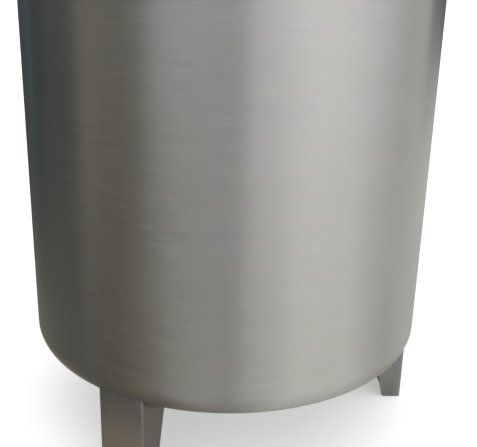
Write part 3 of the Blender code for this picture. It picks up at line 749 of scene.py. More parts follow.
def on_web(tree):
    """1 on a leg's web and 0 on its flanges."""
    from_middle = calc(tree, "ABSOLUTE", measures_on(tree)[0])
    return soft_step(tree, from_middle, LEG_HALF + 0.1 * BEND, LEG_HALF - BEND)


def on_right(tree):
    """1 from the fold of a leg's right flange on, and 0 before it."""
    return soft_step(tree, measures_on(tree)[0], LEG_HALF - 0.9 * BEND, LEG_HALF - 0.3 * BEND)


def leg_dust(tree, place, cloud):
    """How far dust covers a leg: most on the web near the floor, and some on the right flange."""
    dusty = soft_step(tree, split(tree, place)[2], DUST_TOP, DUST_FULL)
    dusty = product(tree, varied(tree, DUST_LEAST, (dusty, 1 - DUST_LEAST)), on_web(tree))
    dusty = varied(tree, dusty, (on_right(tree), FLANGE_DUST))
    return product(tree, dusty, DUST_COVER, varied(tree, 1.0, (cloud, DUST_CLOUD)))


def leg_painted_shade(tree):
    """Share of light that a leg keeps, from the distances round the plate and below the head.

    It is less than 1 on the web. It holds painted shade on the right flange and the fold
    before it, and a painted shadow under the head, and its painted shade falls off on the left
    flange towards its free edge and the floor.
    """
    round_by, below, _ = measures_on(tree)
    right = on_right(tree)
    # painted shade on the right fold and flange, and on the left flange towards the floor
    beyond = soft_step(tree, round_by, LEG_HALF + 0.2 * BEND, LEG_HALF + 0.6 * BEND)
    right_shade = varied(tree, FOLD_SHADE, (beyond, FLANGE_SHADE - FOLD_SHADE))
    left = soft_step(tree, product(tree, round_by, -1.0), LEG_HALF - BEND, LEG_HALF + FLANGE_AT_FOOT)
    low = soft_step(tree, below, LOW_START, LOW_END)
    # the painted shadow just under the head, darker on the right flange
    head_shadow = soft_step(tree, below, HEAD_SHADOW_END, HEAD_SHADOW_START)
    head_shadow_depth = varied(tree, HEAD_SHADOW, (right, HEAD_SHADOW_RIGHT - HEAD_SHADOW))
    return product(
        tree, less(tree, product(tree, right, right_shade)), less(tree, product(tree, left, low), LOW_SHADE),
        less(tree, on_web(tree), WEB_DARKER), less(tree, product(tree, head_shadow, head_shadow_depth)))


# %% Steel for the tank, the legs and the fittings


def dress(piece, material, slot, *replaced):
    """Gives a piece its material and its body, and hides the solids that it stands for. slot is not used.
    """
    piece.data.materials.clear()
    piece.data.materials.append(material)
    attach(piece, "root")
    if replaced:
        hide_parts(*replaced)


tank_steel = brushed_steel(
    "brushed tank steel", colour=(0.60, 0.60, 0.592), stain=(0.60, 0.59, 0.56), roughness=0.31,
    grooves=ROUND_GROOVES)
leg_steel = brushed_steel(
    "brushed leg steel", colour=(0.410, 0.411, 0.411), stain=(0.403, 0.394, 0.372), roughness=0.60,
    grooves=LEG_GROOVES, across=(2, 1), anisotropy=0.3, folded=True)
turned_steel = brushed_steel(
    "turned steel", colour=(0.66, 0.66, 0.65), stain=(0.64, 0.635, 0.62), roughness=0.20,
    grooves=TURNED_GROOVES, anisotropy=0.6)
lug_steel = brushed_steel(
    "brushed lug steel", colour=(0.58, 0.58, 0.57), stain=(0.57, 0.56, 0.53), roughness=0.33,
    grooves=TURNED_GROOVES, across=(2, 1))
dress(wall, tank_steel, "tank_steel", "shell")
dress(lower_head, tank_steel, "tank_steel", "bottom_head")
dress(upper_head, tank_steel, "tank_steel", "top_head")
for piece, name in zip(legs, LEG_NAMES):
    dress(piece, leg_steel, "leg_steel", "leg_" + name)

# %% [markdown]
# ## Steel without grooves, and rubber
#
# Investment-cast clamps and wing nuts come tumbled, with a soft grain all over and no
# direction. Cut plates have a dull mill finish. A weld in stainless steel keeps a faint
# straw and blue tint, even after it is cleaned. The seals are black rubber: not metal, very
# rough, with a bloom of grey.

# %% Cast, plate and weld steel
LARGE_LIGHT, SMALL_LIGHT = 0.05, 0.10
LARGE_ROUGH, SMALL_ROUGH = 0.05, 0.08
GRAIN_RELIEF = 0.4
TINT_START, TINT_FULL = -0.25, 0.35
BLOOM_START, BLOOM_FULL = -0.2, 0.6
BLACK = (0.018, 0.018, 0.019)
BLOOM = (0.055, 0.055, 0.054)
BLOOM_PATCHES = 30.0
BLOOM_ROUGH = 0.2
RUBBER_ROUGH = 0.6
RUBBER_GRAIN = 2500.0
RUBBER_RELIEF = 0.3
RUBBER_DEPTH = 0.00005


def grainy_steel(name, colour, tint, roughness, grain, depth, patches=14.0):
    """Steel with a fine even grain, and patches of a second tint."""
    material, tree, shader = empty_material(name)
    place = on_piece(tree)
    small = noise(tree, place, grain, 3.0, 0.6)
    large = noise(tree, place, patches, 3.0, 0.6)
    mixed = blend(tree, soft_step(tree, large, TINT_START, TINT_FULL), colour, tint)
    light = varied(tree, 1.0, (large, LARGE_LIGHT), (small, SMALL_LIGHT))
    feed(tree, shader, {
        "Base Color": scaled(tree, mixed, light),
        "Metallic": 1.0,
        "Roughness": varied(tree, roughness, (large, LARGE_ROUGH), (small, SMALL_ROUGH)),
        "Normal": bumped(tree, small, GRAIN_RELIEF, depth),
    })
    return material


def seal_rubber(name):
    """Black rubber with a grey bloom in patches and a fine moulded grain."""
    material, tree, shader = empty_material(name)
    place = on_piece(tree)
    bloom = soft_step(tree, noise(tree, place, BLOOM_PATCHES, 4.0, 0.7), BLOOM_START, BLOOM_FULL)
    feed(tree, shader, {
        "Base Color": blend(tree, bloom, BLACK, BLOOM),
        "Roughness": varied(tree, RUBBER_ROUGH, (bloom, BLOOM_ROUGH)),
        "Normal": bumped(tree, noise(tree, place, RUBBER_GRAIN), RUBBER_RELIEF, RUBBER_DEPTH),
    })
    return material


cast_steel = grainy_steel(
    "tumbled steel", colour=(0.64, 0.635, 0.62), tint=(0.60, 0.595, 0.58), roughness=0.30,
    grain=1800.0, depth=0.00006)
plate_steel = grainy_steel(
    "mill plate", colour=(0.56, 0.555, 0.54), tint=(0.53, 0.52, 0.50), roughness=0.38,
    grain=900.0, depth=0.00005)
weld_steel = grainy_steel(
    "weld", colour=(0.56, 0.545, 0.50), tint=(0.50, 0.49, 0.50), roughness=0.34,
    grain=500.0, depth=0.00010, patches=60.0)
rubber = seal_rubber("seal rubber")

# %% [markdown]
# ## Eased edges
#
# Nothing that leaves a workshop has a truly sharp edge: a deburred corner is round by a few
# tenths of a millimetre, and it shows as a fine bright line. A Bevel modifier would do, but
# the profiles and outlines here are short lists of points, so it is simpler to draw them
# with sharp corners and let one function round them all before the surface is made.

# %% Eased lines
TURNED_SIDES = 72
CORNER = math.radians(20)
SHORTEST = 0.45


def eased(points, radius, steps=3, closed=True):
    """The line with each corner replaced by a quadratic bend that starts a radius before it.

    With unit vectors back and on along the line, the bend's point at s is
    corner + radius ((1 - s)^2 back + s^2 on). A short stretch makes the radius smaller.
    """
    points = np.asarray(points, float)
    back = np.roll(points, 1, axis=0) - points
    on = np.roll(points, -1, axis=0) - points
    if not closed:
        back[0] = -on[0]
        on[-1] = -back[-1]
    reach = np.minimum(radius, SHORTEST * np.minimum(lengths(back), lengths(on)))
    back, on = unit(back), unit(on)
    straight = np.sum(back * on, axis=1) < -math.cos(CORNER)
    s = np.linspace(0.0, 1.0, steps + 1)[None, :, None]
    bend = points[:, None] + reach[:, None] * ((1 - s) ** 2 * back[:, None] + s**2 * on[:, None])
    bend[straight] = points[straight][:, None]
    kept = np.ones(bend.shape[:2], bool)
    kept[straight, 1:] = False
    return bend[kept]


def lathe(name, points, ease, centre=(0.0, 0.0), closed=True, sides=TURNED_SIDES):
    """A turned piece with eased corners. An open profile starts and ends on the axis."""
    profile = eased(points, ease, closed=closed)
    return turned(name, looped(profile) if closed else profile, sides, centre)


def upside_down(points, level):
    """The profile mirrored in height and moved up, still running down its outer side."""
    return np.asarray(points, float)[::-1] * (1.0, -1.0) + (0.0, level)


def lifted(points, level):
    """The profile moved up."""
    return np.asarray(points, float) + (0.0, level)


def ball_of(radius, rise):
    """Radius of the ball that a dome is part of: (radius^2 + rise^2) / (2 rise)."""
    return (radius**2 + rise**2) / (2 * rise)


def dome(radius, base, rise, steps=24):
    """A shallow dome from its top on the axis to its edge, an arc of the ball through both."""
    ball = ball_of(radius, rise)
    line = arc((0.0, base + rise - ball), ball, math.pi / 2, math.acos(radius / ball), steps)
    line[0, 0] = 0.0
    return line


# %% Moved, copied and fused pieces


def moved(piece, matrix):
    """Moves the mesh and leaves its object at the origin."""
    piece.data.transform(matrix)
    return piece


def copy_of(piece, name, matrix):
    """Another piece with the same mesh, moved."""
    return moved(linked(name, piece.data.copy()), matrix)


def used_up(*masters):
    """Reports the pieces that were made only to be copied, and removes them."""
    report(*masters)
    for piece in masters:
        bpy.data.objects.remove(piece, do_unlink=True)


def fused(name, first, *others):
    """One closed body from pieces that overlap, joined by the exact Boolean."""
    for other in others:
        union = first.modifiers.new("Union", "BOOLEAN")
        union.operation = "UNION"
        union.object = other
    bpy.context.view_layer.update()
    ready = first.evaluated_get(bpy.context.evaluated_depsgraph_get())
    mesh = bpy.data.meshes.new_from_object(ready)
    shade(mesh)
    for piece in (first, *others):
        bpy.data.objects.remove(piece, do_unlink=True)
    return linked(name, mesh)


# %% [markdown]
# ## Necks, seals and caps
#
# Food tanks are piped with clamped ferrules: two flat flanges with sloping backs, a seal
# between them, and a hinged ring whose groove wedges them together. All of that is turned
# work, so it comes from profiles. The vent carries a hood with a skirt that keeps rain out.
# The outlet under the tank is the same set upside down.

# %% Turned pieces of the ports
FERRULE = 0.032
RIM = 0.0016
SLOPE = math.tan(math.radians(20))
TUBE_SHEET = 0.0016
BORE = TUBE - TUBE_SHEET
SEAL = 0.0016
CAP_HEIGHT = 0.0065
HOOD_RADIUS = 0.044
HOOD_RISE = 0.020
HOOD_LOW = 0.026
HOOD_HIGH = 0.052
HOOD_SHEET = 0.002
SHARP_EASE = 0.0004
SOFT_EASE = 0.0020
SEAL_BASE = GAP + SEAL
TOP_BASE = GAP + SEAL_BASE
BACK_RIM = TOP_BASE + RIM
BACK_TUBE = BACK_RIM + (FERRULE - TUBE) * SLOPE


def middle_of(node):
    """The middle of a solid's box, seen from above."""
    low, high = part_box(node)
    return (low.x + high.x) / 2, (low.y + high.y) / 2


def neck_line(length):
    """A ferrule on a tube, with its face at height 0 and the tube below it."""
    under = -RIM - (FERRULE - TUBE) * SLOPE
    return [(FERRULE, 0), (FERRULE, -RIM), (TUBE, under), (TUBE, -length), (BORE, -length), (BORE, 0)]


SEAL_LINE = [(FERRULE, SEAL_BASE), (FERRULE, GAP), (BORE, GAP), (BORE, SEAL_BASE)]
CAP_LINE = [
    (0, TOP_BASE + CAP_HEIGHT), (TUBE, TOP_BASE + CAP_HEIGHT), (TUBE, BACK_TUBE),
    (FERRULE, BACK_RIM), (FERRULE, TOP_BASE), (0, TOP_BASE),
]
HOOD_INSIDE = TOP_BASE + HOOD_HIGH - HOOD_SHEET
HOOD_LINE = np.concatenate((
    dome(HOOD_RADIUS, TOP_BASE + HOOD_HIGH, HOOD_RISE),
    [
        (HOOD_RADIUS, TOP_BASE + HOOD_LOW), (HOOD_RADIUS - HOOD_SHEET, TOP_BASE + HOOD_LOW),
        (HOOD_RADIUS - HOOD_SHEET, HOOD_INSIDE), (TUBE, HOOD_INSIDE), (TUBE, BACK_TUBE),
        (FERRULE, BACK_RIM), (FERRULE, TOP_BASE), (0, TOP_BASE),
    ],
))
PORT_TOPS = {"inlet": ("_cap", CAP_LINE), "vent": ("_hood", HOOD_LINE), "outlet": ("_cap", CAP_LINE)}
for port, (top, top_line) in PORT_TOPS.items():
    low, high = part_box(port + "_neck")
    centre = middle_of(port + "_neck")
    down = port == "outlet"
    face = low.z if down else high.z
    place_line = upside_down if down else lifted
    neck = lathe(port + "_tube", place_line(neck_line(high.z - low.z), face), SHARP_EASE, centre)
    seal = lathe(port + "_seal", place_line(SEAL_LINE, face), SHARP_EASE, centre)
    closed_by = lathe(port + "_top", place_line(top_line, face), SOFT_EASE, centre, closed=False)
    dress(neck, turned_steel, "fitting_steel", port + "_neck")
    dress(seal, rubber, "gasket_rubber", port + "_gasket")
    dress(closed_by, turned_steel, "fitting_steel", port + top)
    report(neck, seal, closed_by)

# %% [markdown]
# ## Plates
#
# A plate is its outline carried through its thickness. The outline runs anticlockwise, its
# long edges are rounded on both faces, and each face is spanned from a round hole, or from
# one point where there is none. That needs an outline that is seen whole from its middle,
# which holds for every plate here.

# %% Plates
EDGE_STEPS = 3


def rightwards(along):
    """Unit vectors a quarter turn to the right of flat directions: (y, -x) / length."""
    return unit(along)[:, ::-1] * (1.0, -1.0)


def moved_in(outline, distance):
    """The closed outline moved inwards: each point less distance times its outward normal."""
    along = np.roll(outline, -1, axis=0) - np.roll(outline, 1, axis=0)
    return outline - distance * rightwards(along)


def rounded_rows(low, high, ease):
    """A plate's edge from top to bottom: its rows' distances in from the outline, and heights.

    The row at angle t lies ease (1 - sin t) in from the outline and ease (1 - cos t) in
    from the face.
    """
    t = np.linspace(0.0, math.pi / 2, EDGE_STEPS + 1)
    inset, drop = ease * (1 - np.sin(t)), ease * (1 - np.cos(t))
    return np.concatenate((inset, inset[::-1])), np.concatenate((high - drop, (low + drop)[::-1]))


def slab(name, outline, low, high, ease, middle, hole=0.0):
    """A plate between two heights, with the edges of its outline and of its hole rounded."""
    inset, level = rounded_rows(low, high, ease)
    sides = np.stack([looped(moved_in(outline, distance)) for distance in inset])
    reach = hole + inset[:, None, None] if hole else 0.0
    inner = middle + reach * unit(looped(outline) - middle)
    inner_rows = raised(inner, level[:, None])[::-1]
    last_rows = inner_rows if hole else inner_rows[:1]
    rows = np.concatenate((inner_rows[-1:], raised(sides, level[:, None]), last_rows))
    return surface(name, [rows], [rows[..., 1::-1]])


def rounded_box(low, high, radius, steps=6):
    """The outline of a rectangle with round corners, anticlockwise."""
    corners = [(high[0], low[1]), high, (low[0], high[1]), low]
    return eased(corners, radius, steps)


# %% [markdown]
# ## Screws and wing nuts
#
# A thread is a turned rod whose radius depends on the angle as well: it falls and rises
# once in each pitch, and its start shifts by one pitch in a full turn. Written that way it
# is a true helix, and it closes on itself at the seam with no extra work. A wing nut is cast
# in one piece, so here a turned body and two plates are fused into one.

# %% Threads
THREAD_ROWS = 6
THREAD_DEPTH = 0.45
ROD_SIDES = 28


def threaded(name, radius, bottom, start, top, pitch):
    """A rod from bottom to top, threaded from start upwards.

    The radius loses depth |2 f - 1|, with f the part after the point of
    height / pitch + angle / full turn, and the thread runs out over one pitch at its ends.
    """
    depth = THREAD_DEPTH * pitch
    crest = top - pitch / 2

    def cut(angle, height):
        phase = (height / pitch + angle / math.tau) % 1.0
        soft_start = np.clip((height - start) / pitch, 0.0, 1.0)
        soft_end = np.clip((crest - height) / pitch, 0.0, 1.0)
        return -depth * np.abs(2 * phase - 1) * soft_start * soft_end

    count = int(THREAD_ROWS * (crest - start) / pitch)
    heights = np.linspace(crest, start, count)
    side = np.column_stack((np.full(count, radius), heights))
    ends = ([(0.0, top), (radius - pitch / 2, top)], [(radius, bottom), (0.0, bottom)])
    return turned(name, np.concatenate((ends[0], side, ends[1])), ROD_SIDES, bulge=cut)


# %% Wing nuts
# shares of a nut's radius
NUT_TOP = 0.82
NUT_EASE = 0.08
WING_ROOT = 0.55
WING_FOOT = 1.2
WING_CREASE = 0.4
# shares of its height
NUT_COLLAR = 0.35
WING_LOW = 0.12
WING_HIGH = 0.85
# shares of a wing's height and of half its thickness
WING_TIP = 0.30
WING_EASE = 0.7
TIP_TURN = np.radians((-30, 150))
TIP_STEPS = 14


def wing_nut(name, radius, height, bore, span, wing_height, thickness):
    """A nut with its axis on z and a wing to each side along x."""
    body = lathe(name + "_body", [
        (NUT_TOP * radius, height), (radius, NUT_COLLAR * height), (radius, 0), (bore, 0), (bore, height),
    ], NUT_EASE * radius, sides=ROD_SIDES)
    bend = WING_TIP * wing_height
    root = WING_ROOT * radius
    outline = eased(np.concatenate((
        [(root, WING_LOW * height), (WING_FOOT * radius, WING_LOW * height)],
        arc((span / 2 - bend, wing_height - bend), bend, *TIP_TURN, TIP_STEPS),
        [(root, WING_HIGH * height)],
    )), WING_CREASE * radius)
    half = thickness / 2
    wing = slab(name + "_wing", outline, -half, half, WING_EASE * half, outline.mean(axis=0))
    moved(wing, Matrix.Rotation(math.pi / 2, 4, "X"))
    other = copy_of(wing, name + "_wing_2", Matrix.Rotation(math.pi, 4, "Z"))
    return fused(name, body, wing, other)


# %% [markdown]
# ## The clamps
#
# A clamp is a ring with a wedge-shaped groove, open at one side, where two ears are drawn
# together by a screw. The ring is its profile carried round from one side of the slot to
# the other. The slot's faces are flat, so each radius starts at its own angle.

# %% Clamps
CLAMP_RADIUS = 0.0395
CLAMP_HALF = 0.0090
CLAMP_LIP = 0.0285
EAR_REACH = 0.060
EAR_HALF_WIDTH = 0.010
EAR_HALF_HEIGHT = 0.0077
EAR_CORNER = 0.004
SLOT_HALF = 0.002
SCREW_AT = 0.050
SCREW = 0.003
SCREW_PITCH = 0.001
SCREW_HEAD = 0.004
SCREW_HEAD_RADIUS = 0.0055
SCREW_END = 0.0223
HEXAGON_CORNER = 0.0006
HEXAGON_EASE = 0.0005
GROOVE = FERRULE + 2 * GAP
GROOVE_SIDE = RIM + 2 * GAP + SEAL / 2
LIP_SIDE = GROOVE_SIDE + (FERRULE - CLAMP_LIP) * SLOPE + GAP


def clamp_ring(name):
    """The ring's profile carried round, with angle = start + t (full turn - 2 start).

    A point at radius r starts at asin(slot / r), which makes both ends of the ring flat.
    """
    profile = eased([
        (CLAMP_RADIUS, CLAMP_HALF), (CLAMP_RADIUS, -CLAMP_HALF), (CLAMP_LIP, -CLAMP_HALF),
        (CLAMP_LIP, -LIP_SIDE), (GROOVE, -GROOVE_SIDE), (GROOVE, GROOVE_SIDE),
        (CLAMP_LIP, LIP_SIDE), (CLAMP_LIP, CLAMP_HALF),
    ], SOFT_EASE)
    loop = looped(profile)
    radius, height = loop[:, :1], loop[:, 1:]
    start = np.arcsin(SLOT_HALF / radius)
    angle = start + np.linspace(0.0, 1.0, TURNED_SIDES + 1) * (math.tau - 2 * start)
    grid = rings(radius, height, angle)
    measure = grid_of(far_along(loop)[:, None], CLAMP_RADIUS * angle)
    return surface(name, [grid], [measure], caps=[grid[:-1, 0][::-1], grid[:-1, -1]])


def clamp_ear(name, side):
    """An upright ear with a hole for the screw, beside the slot."""
    low = ((CLAMP_RADIUS + GROOVE) / 2 - SCREW_AT, -EAR_HALF_HEIGHT)
    outline = rounded_box(low, (EAR_REACH - SCREW_AT, EAR_HALF_HEIGHT), EAR_CORNER)
    ear = slab(name, outline, SLOT_HALF, EAR_HALF_WIDTH, SHARP_EASE, (0.0, 0.0), SCREW + GAP)
    upright = Matrix.Rotation(-side * math.pi / 2, 4, "X")
    return moved(ear, Matrix.Translation((SCREW_AT, 0, 0)) @ upright)


def clamp_screw(name):
    """The clamp's screw, its hexagon head and its wing nut, with the axis along y."""
    face = EAR_HALF_WIDTH + GAP
    rod = threaded(name + "_rod", SCREW, -face - SCREW_HEAD / 2, SLOT_HALF, SCREW_END, SCREW_PITCH)
    hexagon = eased(arc((0.0, 0.0), SCREW_HEAD_RADIUS, 0.0, math.tau, 6)[:-1], HEXAGON_CORNER)
    head = slab(name + "_head", hexagon, -face - SCREW_HEAD, -face, HEXAGON_EASE, (0.0, 0.0))
    nut = wing_nut(
        name + "_nut", radius=SCREW_HEAD_RADIUS, height=0.008, bore=0.8 * SCREW, span=0.036,
        wing_height=0.016, thickness=0.003)
    moved(nut, Matrix.Translation((0, 0, face)))
    lying = Matrix(((0, 1, 0, SCREW_AT), (0, 0, 1, 0), (1, 0, 0, 0), (0, 0, 0, 1)))
    return moved(fused(name, rod, head, nut), lying)


clamp = fused("clamp", clamp_ring("ring"), clamp_ear("ear_1", 1), clamp_ear("ear_2", -1))
screw = clamp_screw("screw")
EAR_TURNS = {"inlet": 90, "vent": 270, "outlet": 180}
for port, degrees in EAR_TURNS.items():
    low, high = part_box(port + "_clamp")
    height = (low.z + high.z) / 2
    there = Matrix.Translation((*middle_of(port + "_neck"), height))
    there = there @ Matrix.Rotation(math.radians(degrees), 4, "Z")
    ring = copy_of(clamp, port + "_clamp_ring", there)
    bolt = copy_of(screw, port + "_screw", there)
    dress(ring, cast_steel, "fitting_steel", port + "_clamp")
    dress(bolt, cast_steel, "fitting_steel", port + "_clamp_screw")
used_up(clamp, screw)

# %% [markdown]
# ## The manway
#
# A lid of 400 mm closes the opening in the top. Its flange and the neck's have slots, open
# outwards, so that the bolts can swing clear. The flange is worked out as rings of points:
# round ones inside, and on the rim an outline that dips into every slot. Each rim point is
# tied to a direction on the last round ring, so the rings join without crossing.

# %% Rings with slots
BOLT_TURNS = np.radians((200, 270, 340))
BOLT_AT = 0.2285
SLOT_RADIUS = 0.007
FLANGE_EDGE = 0.245
LAST_RING = 0.219
RIM_STEP = math.radians(1.25)
MOUTH_TURN = math.radians(1.95)
SIDE_TURN = math.radians(1.84)
SLOT_STEPS = 12


def slot_outline(edge, half):
    """One slot's points (x, y) for a bolt on the x axis, from one corner to the other."""
    bend = arc((BOLT_AT, 0.0), half, 1.5 * math.pi, math.pi / 2, SLOT_STEPS)
    mouth = math.sqrt(edge**2 - half**2)
    return np.concatenate(([(mouth, -half)], bend, [(mouth, half)]))


def slot_directions():
    """The directions that a slot's points are tied to: its own, opened out at the mouth."""
    x, y = slot_outline(FLANGE_EDGE, SLOT_RADIUS).T
    turn = np.arctan2(y, x)
    turn[[0, -1]] = (-MOUTH_TURN, MOUTH_TURN)
    turn[[1, -2]] = (-SIDE_TURN, SIDE_TURN)
    return turn


def round_the_rim(at_slot, between_slots):
    """Joins what one function makes for each slot's turn and the other for those up to the next."""
    parts = []
    for start, end in zip(BOLT_TURNS, np.append(BOLT_TURNS[1:], BOLT_TURNS[0] + math.tau)):
        between = np.arange(start + 2 * RIM_STEP, end - 1.5 * RIM_STEP, RIM_STEP)
        parts += [at_slot(start), between_slots(between)]
    return np.concatenate(parts)


def rim_ring(edge, half):
    """The whole rim: between two slots it is an arc, and at each slot the slot's outline."""
    outline = slot_outline(edge, half)
    return looped(round_the_rim(
        lambda turn: turned_about(turn, outline), lambda turns: edge * directions(turns)))


def rim_directions():
    """The direction of every point of the rim, in the order of rim_ring."""
    turns = round_the_rim(lambda turn: turn + slot_directions(), lambda turns: turns)
    return np.append(turns, turns[0] + math.tau)


def slotted(name, inwards, outwards, low, high, ease):
    """A turned piece with a slotted flange between two heights.

    outwards is its profile from the middle to the last round ring, on top, and inwards the
    profile from there back to the middle, below. The flange's edges are eased in between.
    """
    turn = rim_directions()
    inset, level = rounded_rows(low, high, ease)
    rims = np.stack([rim_ring(FLANGE_EDGE - depth, SLOT_RADIUS + depth) for depth in inset])
    above, below = (rings(line[:, :1], line[:, 1:], turn) for line in (outwards, inwards))
    grid = np.concatenate((above, raised(rims, level[:, None]), below))
    profile = np.concatenate((outwards, np.column_stack((FLANGE_EDGE - inset, level)), inwards))
    return surface(name, [grid], [grid_of(far_along(profile)[:, None], FLANGE_EDGE * turn)])


# %% Manway neck, seal and lid
FLANGE = 0.008
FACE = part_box("manway_neck")[1].z
UNDER = FACE - FLANGE
NECK_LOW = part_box("manway_neck")[0].z
LID_PLATE = 0.005
LID_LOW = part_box("manway_lid")[0].z
LID_TOP = LID_LOW + LID_PLATE
LID_RISE = 0.036
LID_DOME = 0.185
LID_SHEET = 0.003
INSIDE = MANWAY - SHEET
NECK_BEND = 0.004
FLANGE_EASE = 0.0010
SEAL_EASE = 0.0012
TOP_CREASE = 0.008
LOW_CREASE = 0.006
CREASE_STEPS = 6


def cover_line(height, rise, crease):
    """The lid's dome over a height and the flat brim at it, with the crease between them eased."""
    line = np.concatenate((dome(LID_DOME, height, rise), [(LAST_RING, height)]))
    return eased(line, crease, CREASE_STEPS, closed=False)


outwards = np.array(((INSIDE, FACE - FLANGE_EASE), (INSIDE + FLANGE_EASE, FACE), (LAST_RING, FACE)))
under_line = [(LAST_RING, UNDER), (MANWAY, UNDER), (MANWAY, NECK_LOW)]
under_line = eased(under_line, NECK_BEND, CREASE_STEPS, closed=False)
inwards = np.concatenate((under_line, [(INSIDE, NECK_LOW)], outwards[:1]))
neck = slotted("manway_ring", inwards, outwards, UNDER, FACE, FLANGE_EASE)

seal_low, seal_high = (corner.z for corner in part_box("manway_gasket"))
seal_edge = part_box("manway_gasket")[1].x
seal_line = [(seal_edge, seal_high), (seal_edge, seal_low), (MANWAY, seal_low), (MANWAY, seal_high)]
seal = lathe("manway_seal", seal_line, SEAL_EASE, sides=AROUND // 2)

outwards = cover_line(LID_TOP, LID_RISE, TOP_CREASE)
inwards = cover_line(LID_LOW, LID_RISE + LID_PLATE - LID_SHEET, LOW_CREASE)[::-1]
lid = slotted("manway_cover", inwards, outwards, LID_LOW, LID_TOP, FLANGE_EASE)
dress(neck, tank_steel, "tank_steel", "manway_neck")
dress(seal, rubber, "gasket_rubber", "manway_gasket")
dress(lid, tank_steel, "tank_steel", "manway_lid")
report(neck, seal, lid)

# %% [markdown]
# ## Swing bolts and their nuts
#
# Three eye bolts hold the lid down. Each turns on a pin in a bracket, so it can be swung
# out of its slot once the wing nut is loose. Bolt and nut are made once, on the x axis, and
# copied round.

# %% Swing bolts
PIVOT = sum(corner.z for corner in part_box("manway_bolt_bracket_2")) / 2
BOLT = 0.005
BOLT_PITCH = 0.0015
BOLT_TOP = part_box("manway_swing_bolt_2")[1].z - PIVOT
EYE = 0.0095
EYE_HALF = 0.0055
EYE_HOLE = 0.0043
EYE_EASE = 0.0018
EYE_SIDES = 40
THREAD_START = FACE - PIVOT
NUT_BASE = LID_TOP + GAP

eye_line = [(EYE, EYE_HALF), (EYE, -EYE_HALF), (EYE_HOLE, -EYE_HALF), (EYE_HOLE, EYE_HALF)]
eye = moved(lathe("eye", eye_line, EYE_EASE, sides=EYE_SIDES), Matrix.Rotation(math.pi / 2, 4, "X"))
shank = threaded("shank", BOLT, (EYE + EYE_HOLE) / 2, THREAD_START, BOLT_TOP, BOLT_PITCH)
eye_bolt = fused("eye_bolt", eye, shank)
big_nut = wing_nut(
    "big_nut", radius=0.0095, height=0.013, bore=BOLT + GAP, span=0.056, wing_height=0.024,
    thickness=0.005)
moved(big_nut, Matrix.Rotation(math.pi / 2, 4, "Z"))
for count, turn in enumerate(BOLT_TURNS, 1):
    around = Matrix.Rotation(turn, 4, "Z")
    bolt = copy_of(eye_bolt, f"swing_bolt_{count}", around @ Matrix.Translation((BOLT_AT, 0, PIVOT)))
    nut = copy_of(big_nut, f"wing_nut_{count}", around @ Matrix.Translation((BOLT_AT, 0, NUT_BASE)))
    dress(bolt, cast_steel, "fitting_steel", f"manway_swing_bolt_{count}")
    dress(nut, cast_steel, "fitting_steel", f"manway_wing_nut_{count}")
used_up(eye_bolt, big_nut)

# %% [markdown]
# ## Brackets and hinge
#
# The plain plates of the brackets and of the hinge already have their true shape as solids.
# A copy of each solid, with its triangles merged back into flat faces, only needs its edges
# eased. That keeps every hole where its pin is.

# %% Brackets and hinge
FLAT = math.radians(1)
COPIES = {
    "manway_bolt_bracket_1": "bolt_ears_1", "manway_bolt_bracket_2": "bolt_ears_2",
    "manway_bolt_bracket_3": "bolt_ears_3", "manway_hinge_bracket": "hinge_ears",
    "manway_hinge_strap": "hinge_plate",
}


def eased_copy(node, name, width):
    """A copy of a solid with whole flat faces and a small bevel on its edges."""
    work = bmesh.new()
    work.from_mesh(nodes[node].data)
    bmesh.ops.remove_doubles(work, verts=work.verts, dist=WELD)
    bmesh.ops.dissolve_limit(work, angle_limit=FLAT, verts=work.verts, edges=work.edges)
    mesh = bpy.data.meshes.new(name)
    work.to_mesh(mesh)
    work.free()
    shade(mesh)
    piece = linked(name, mesh)
    ease_edges(piece, width, SHARP)
    return piece


for node, name in COPIES.items():
    piece = eased_copy(node, name, SHARP_EASE)
    dress(piece, plate_steel, "fitting_steel", node)
    report(piece)

PIN = 0.004
PIN_HEAD = 0.006
PIN_HEAD_LENGTH = 0.003
pin_low, pin_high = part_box("manway_hinge_pin")
pin_centre = (pin_low + pin_high) / 2
head_start = pin_low.x + PIN_HEAD_LENGTH
pin_line = [
    (0, -pin_low.x), (PIN_HEAD, -pin_low.x), (PIN_HEAD, -head_start), (PIN, -head_start),
    (PIN, -pin_high.x), (0, -pin_high.x),
]
pin = lathe("hinge_rod", pin_line, SHARP_EASE, closed=False, sides=ROD_SIDES)
moved(pin, Matrix.Rotation(-math.pi / 2, 4, "Y"))
moved(pin, Matrix.Translation((0, pin_centre.y, pin_centre.z)))
dress(pin, turned_steel, "fitting_steel", "manway_hinge_pin")
report(pin)

# %% [markdown]
# ## Handle, lugs and foot plates
#
# The handle is a rod bent twice: a circle carried along a line, with the circle's plane
# square to it everywhere. The lugs are plates whose lower edge follows the head, and the
# foot plates close the legs below.

# %% Handle
ROD = 0.006
HANDLE_HALF = 0.060
HANDLE_BEND = 0.018
HANDLE_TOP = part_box("manway_handle")[1].z - ROD
HANDLE_STEPS = 12
LID_BALL = ball_of(LID_DOME, LID_RISE)
RODS_IN = 0.001


def lid_height(place):
    """Height of the lid's dome over points (x, y), from the ball that it is part of."""
    square = np.sum(np.asarray(place, float) ** 2, axis=-1)
    return LID_TOP + LID_RISE - LID_BALL + np.sqrt(LID_BALL**2 - square)


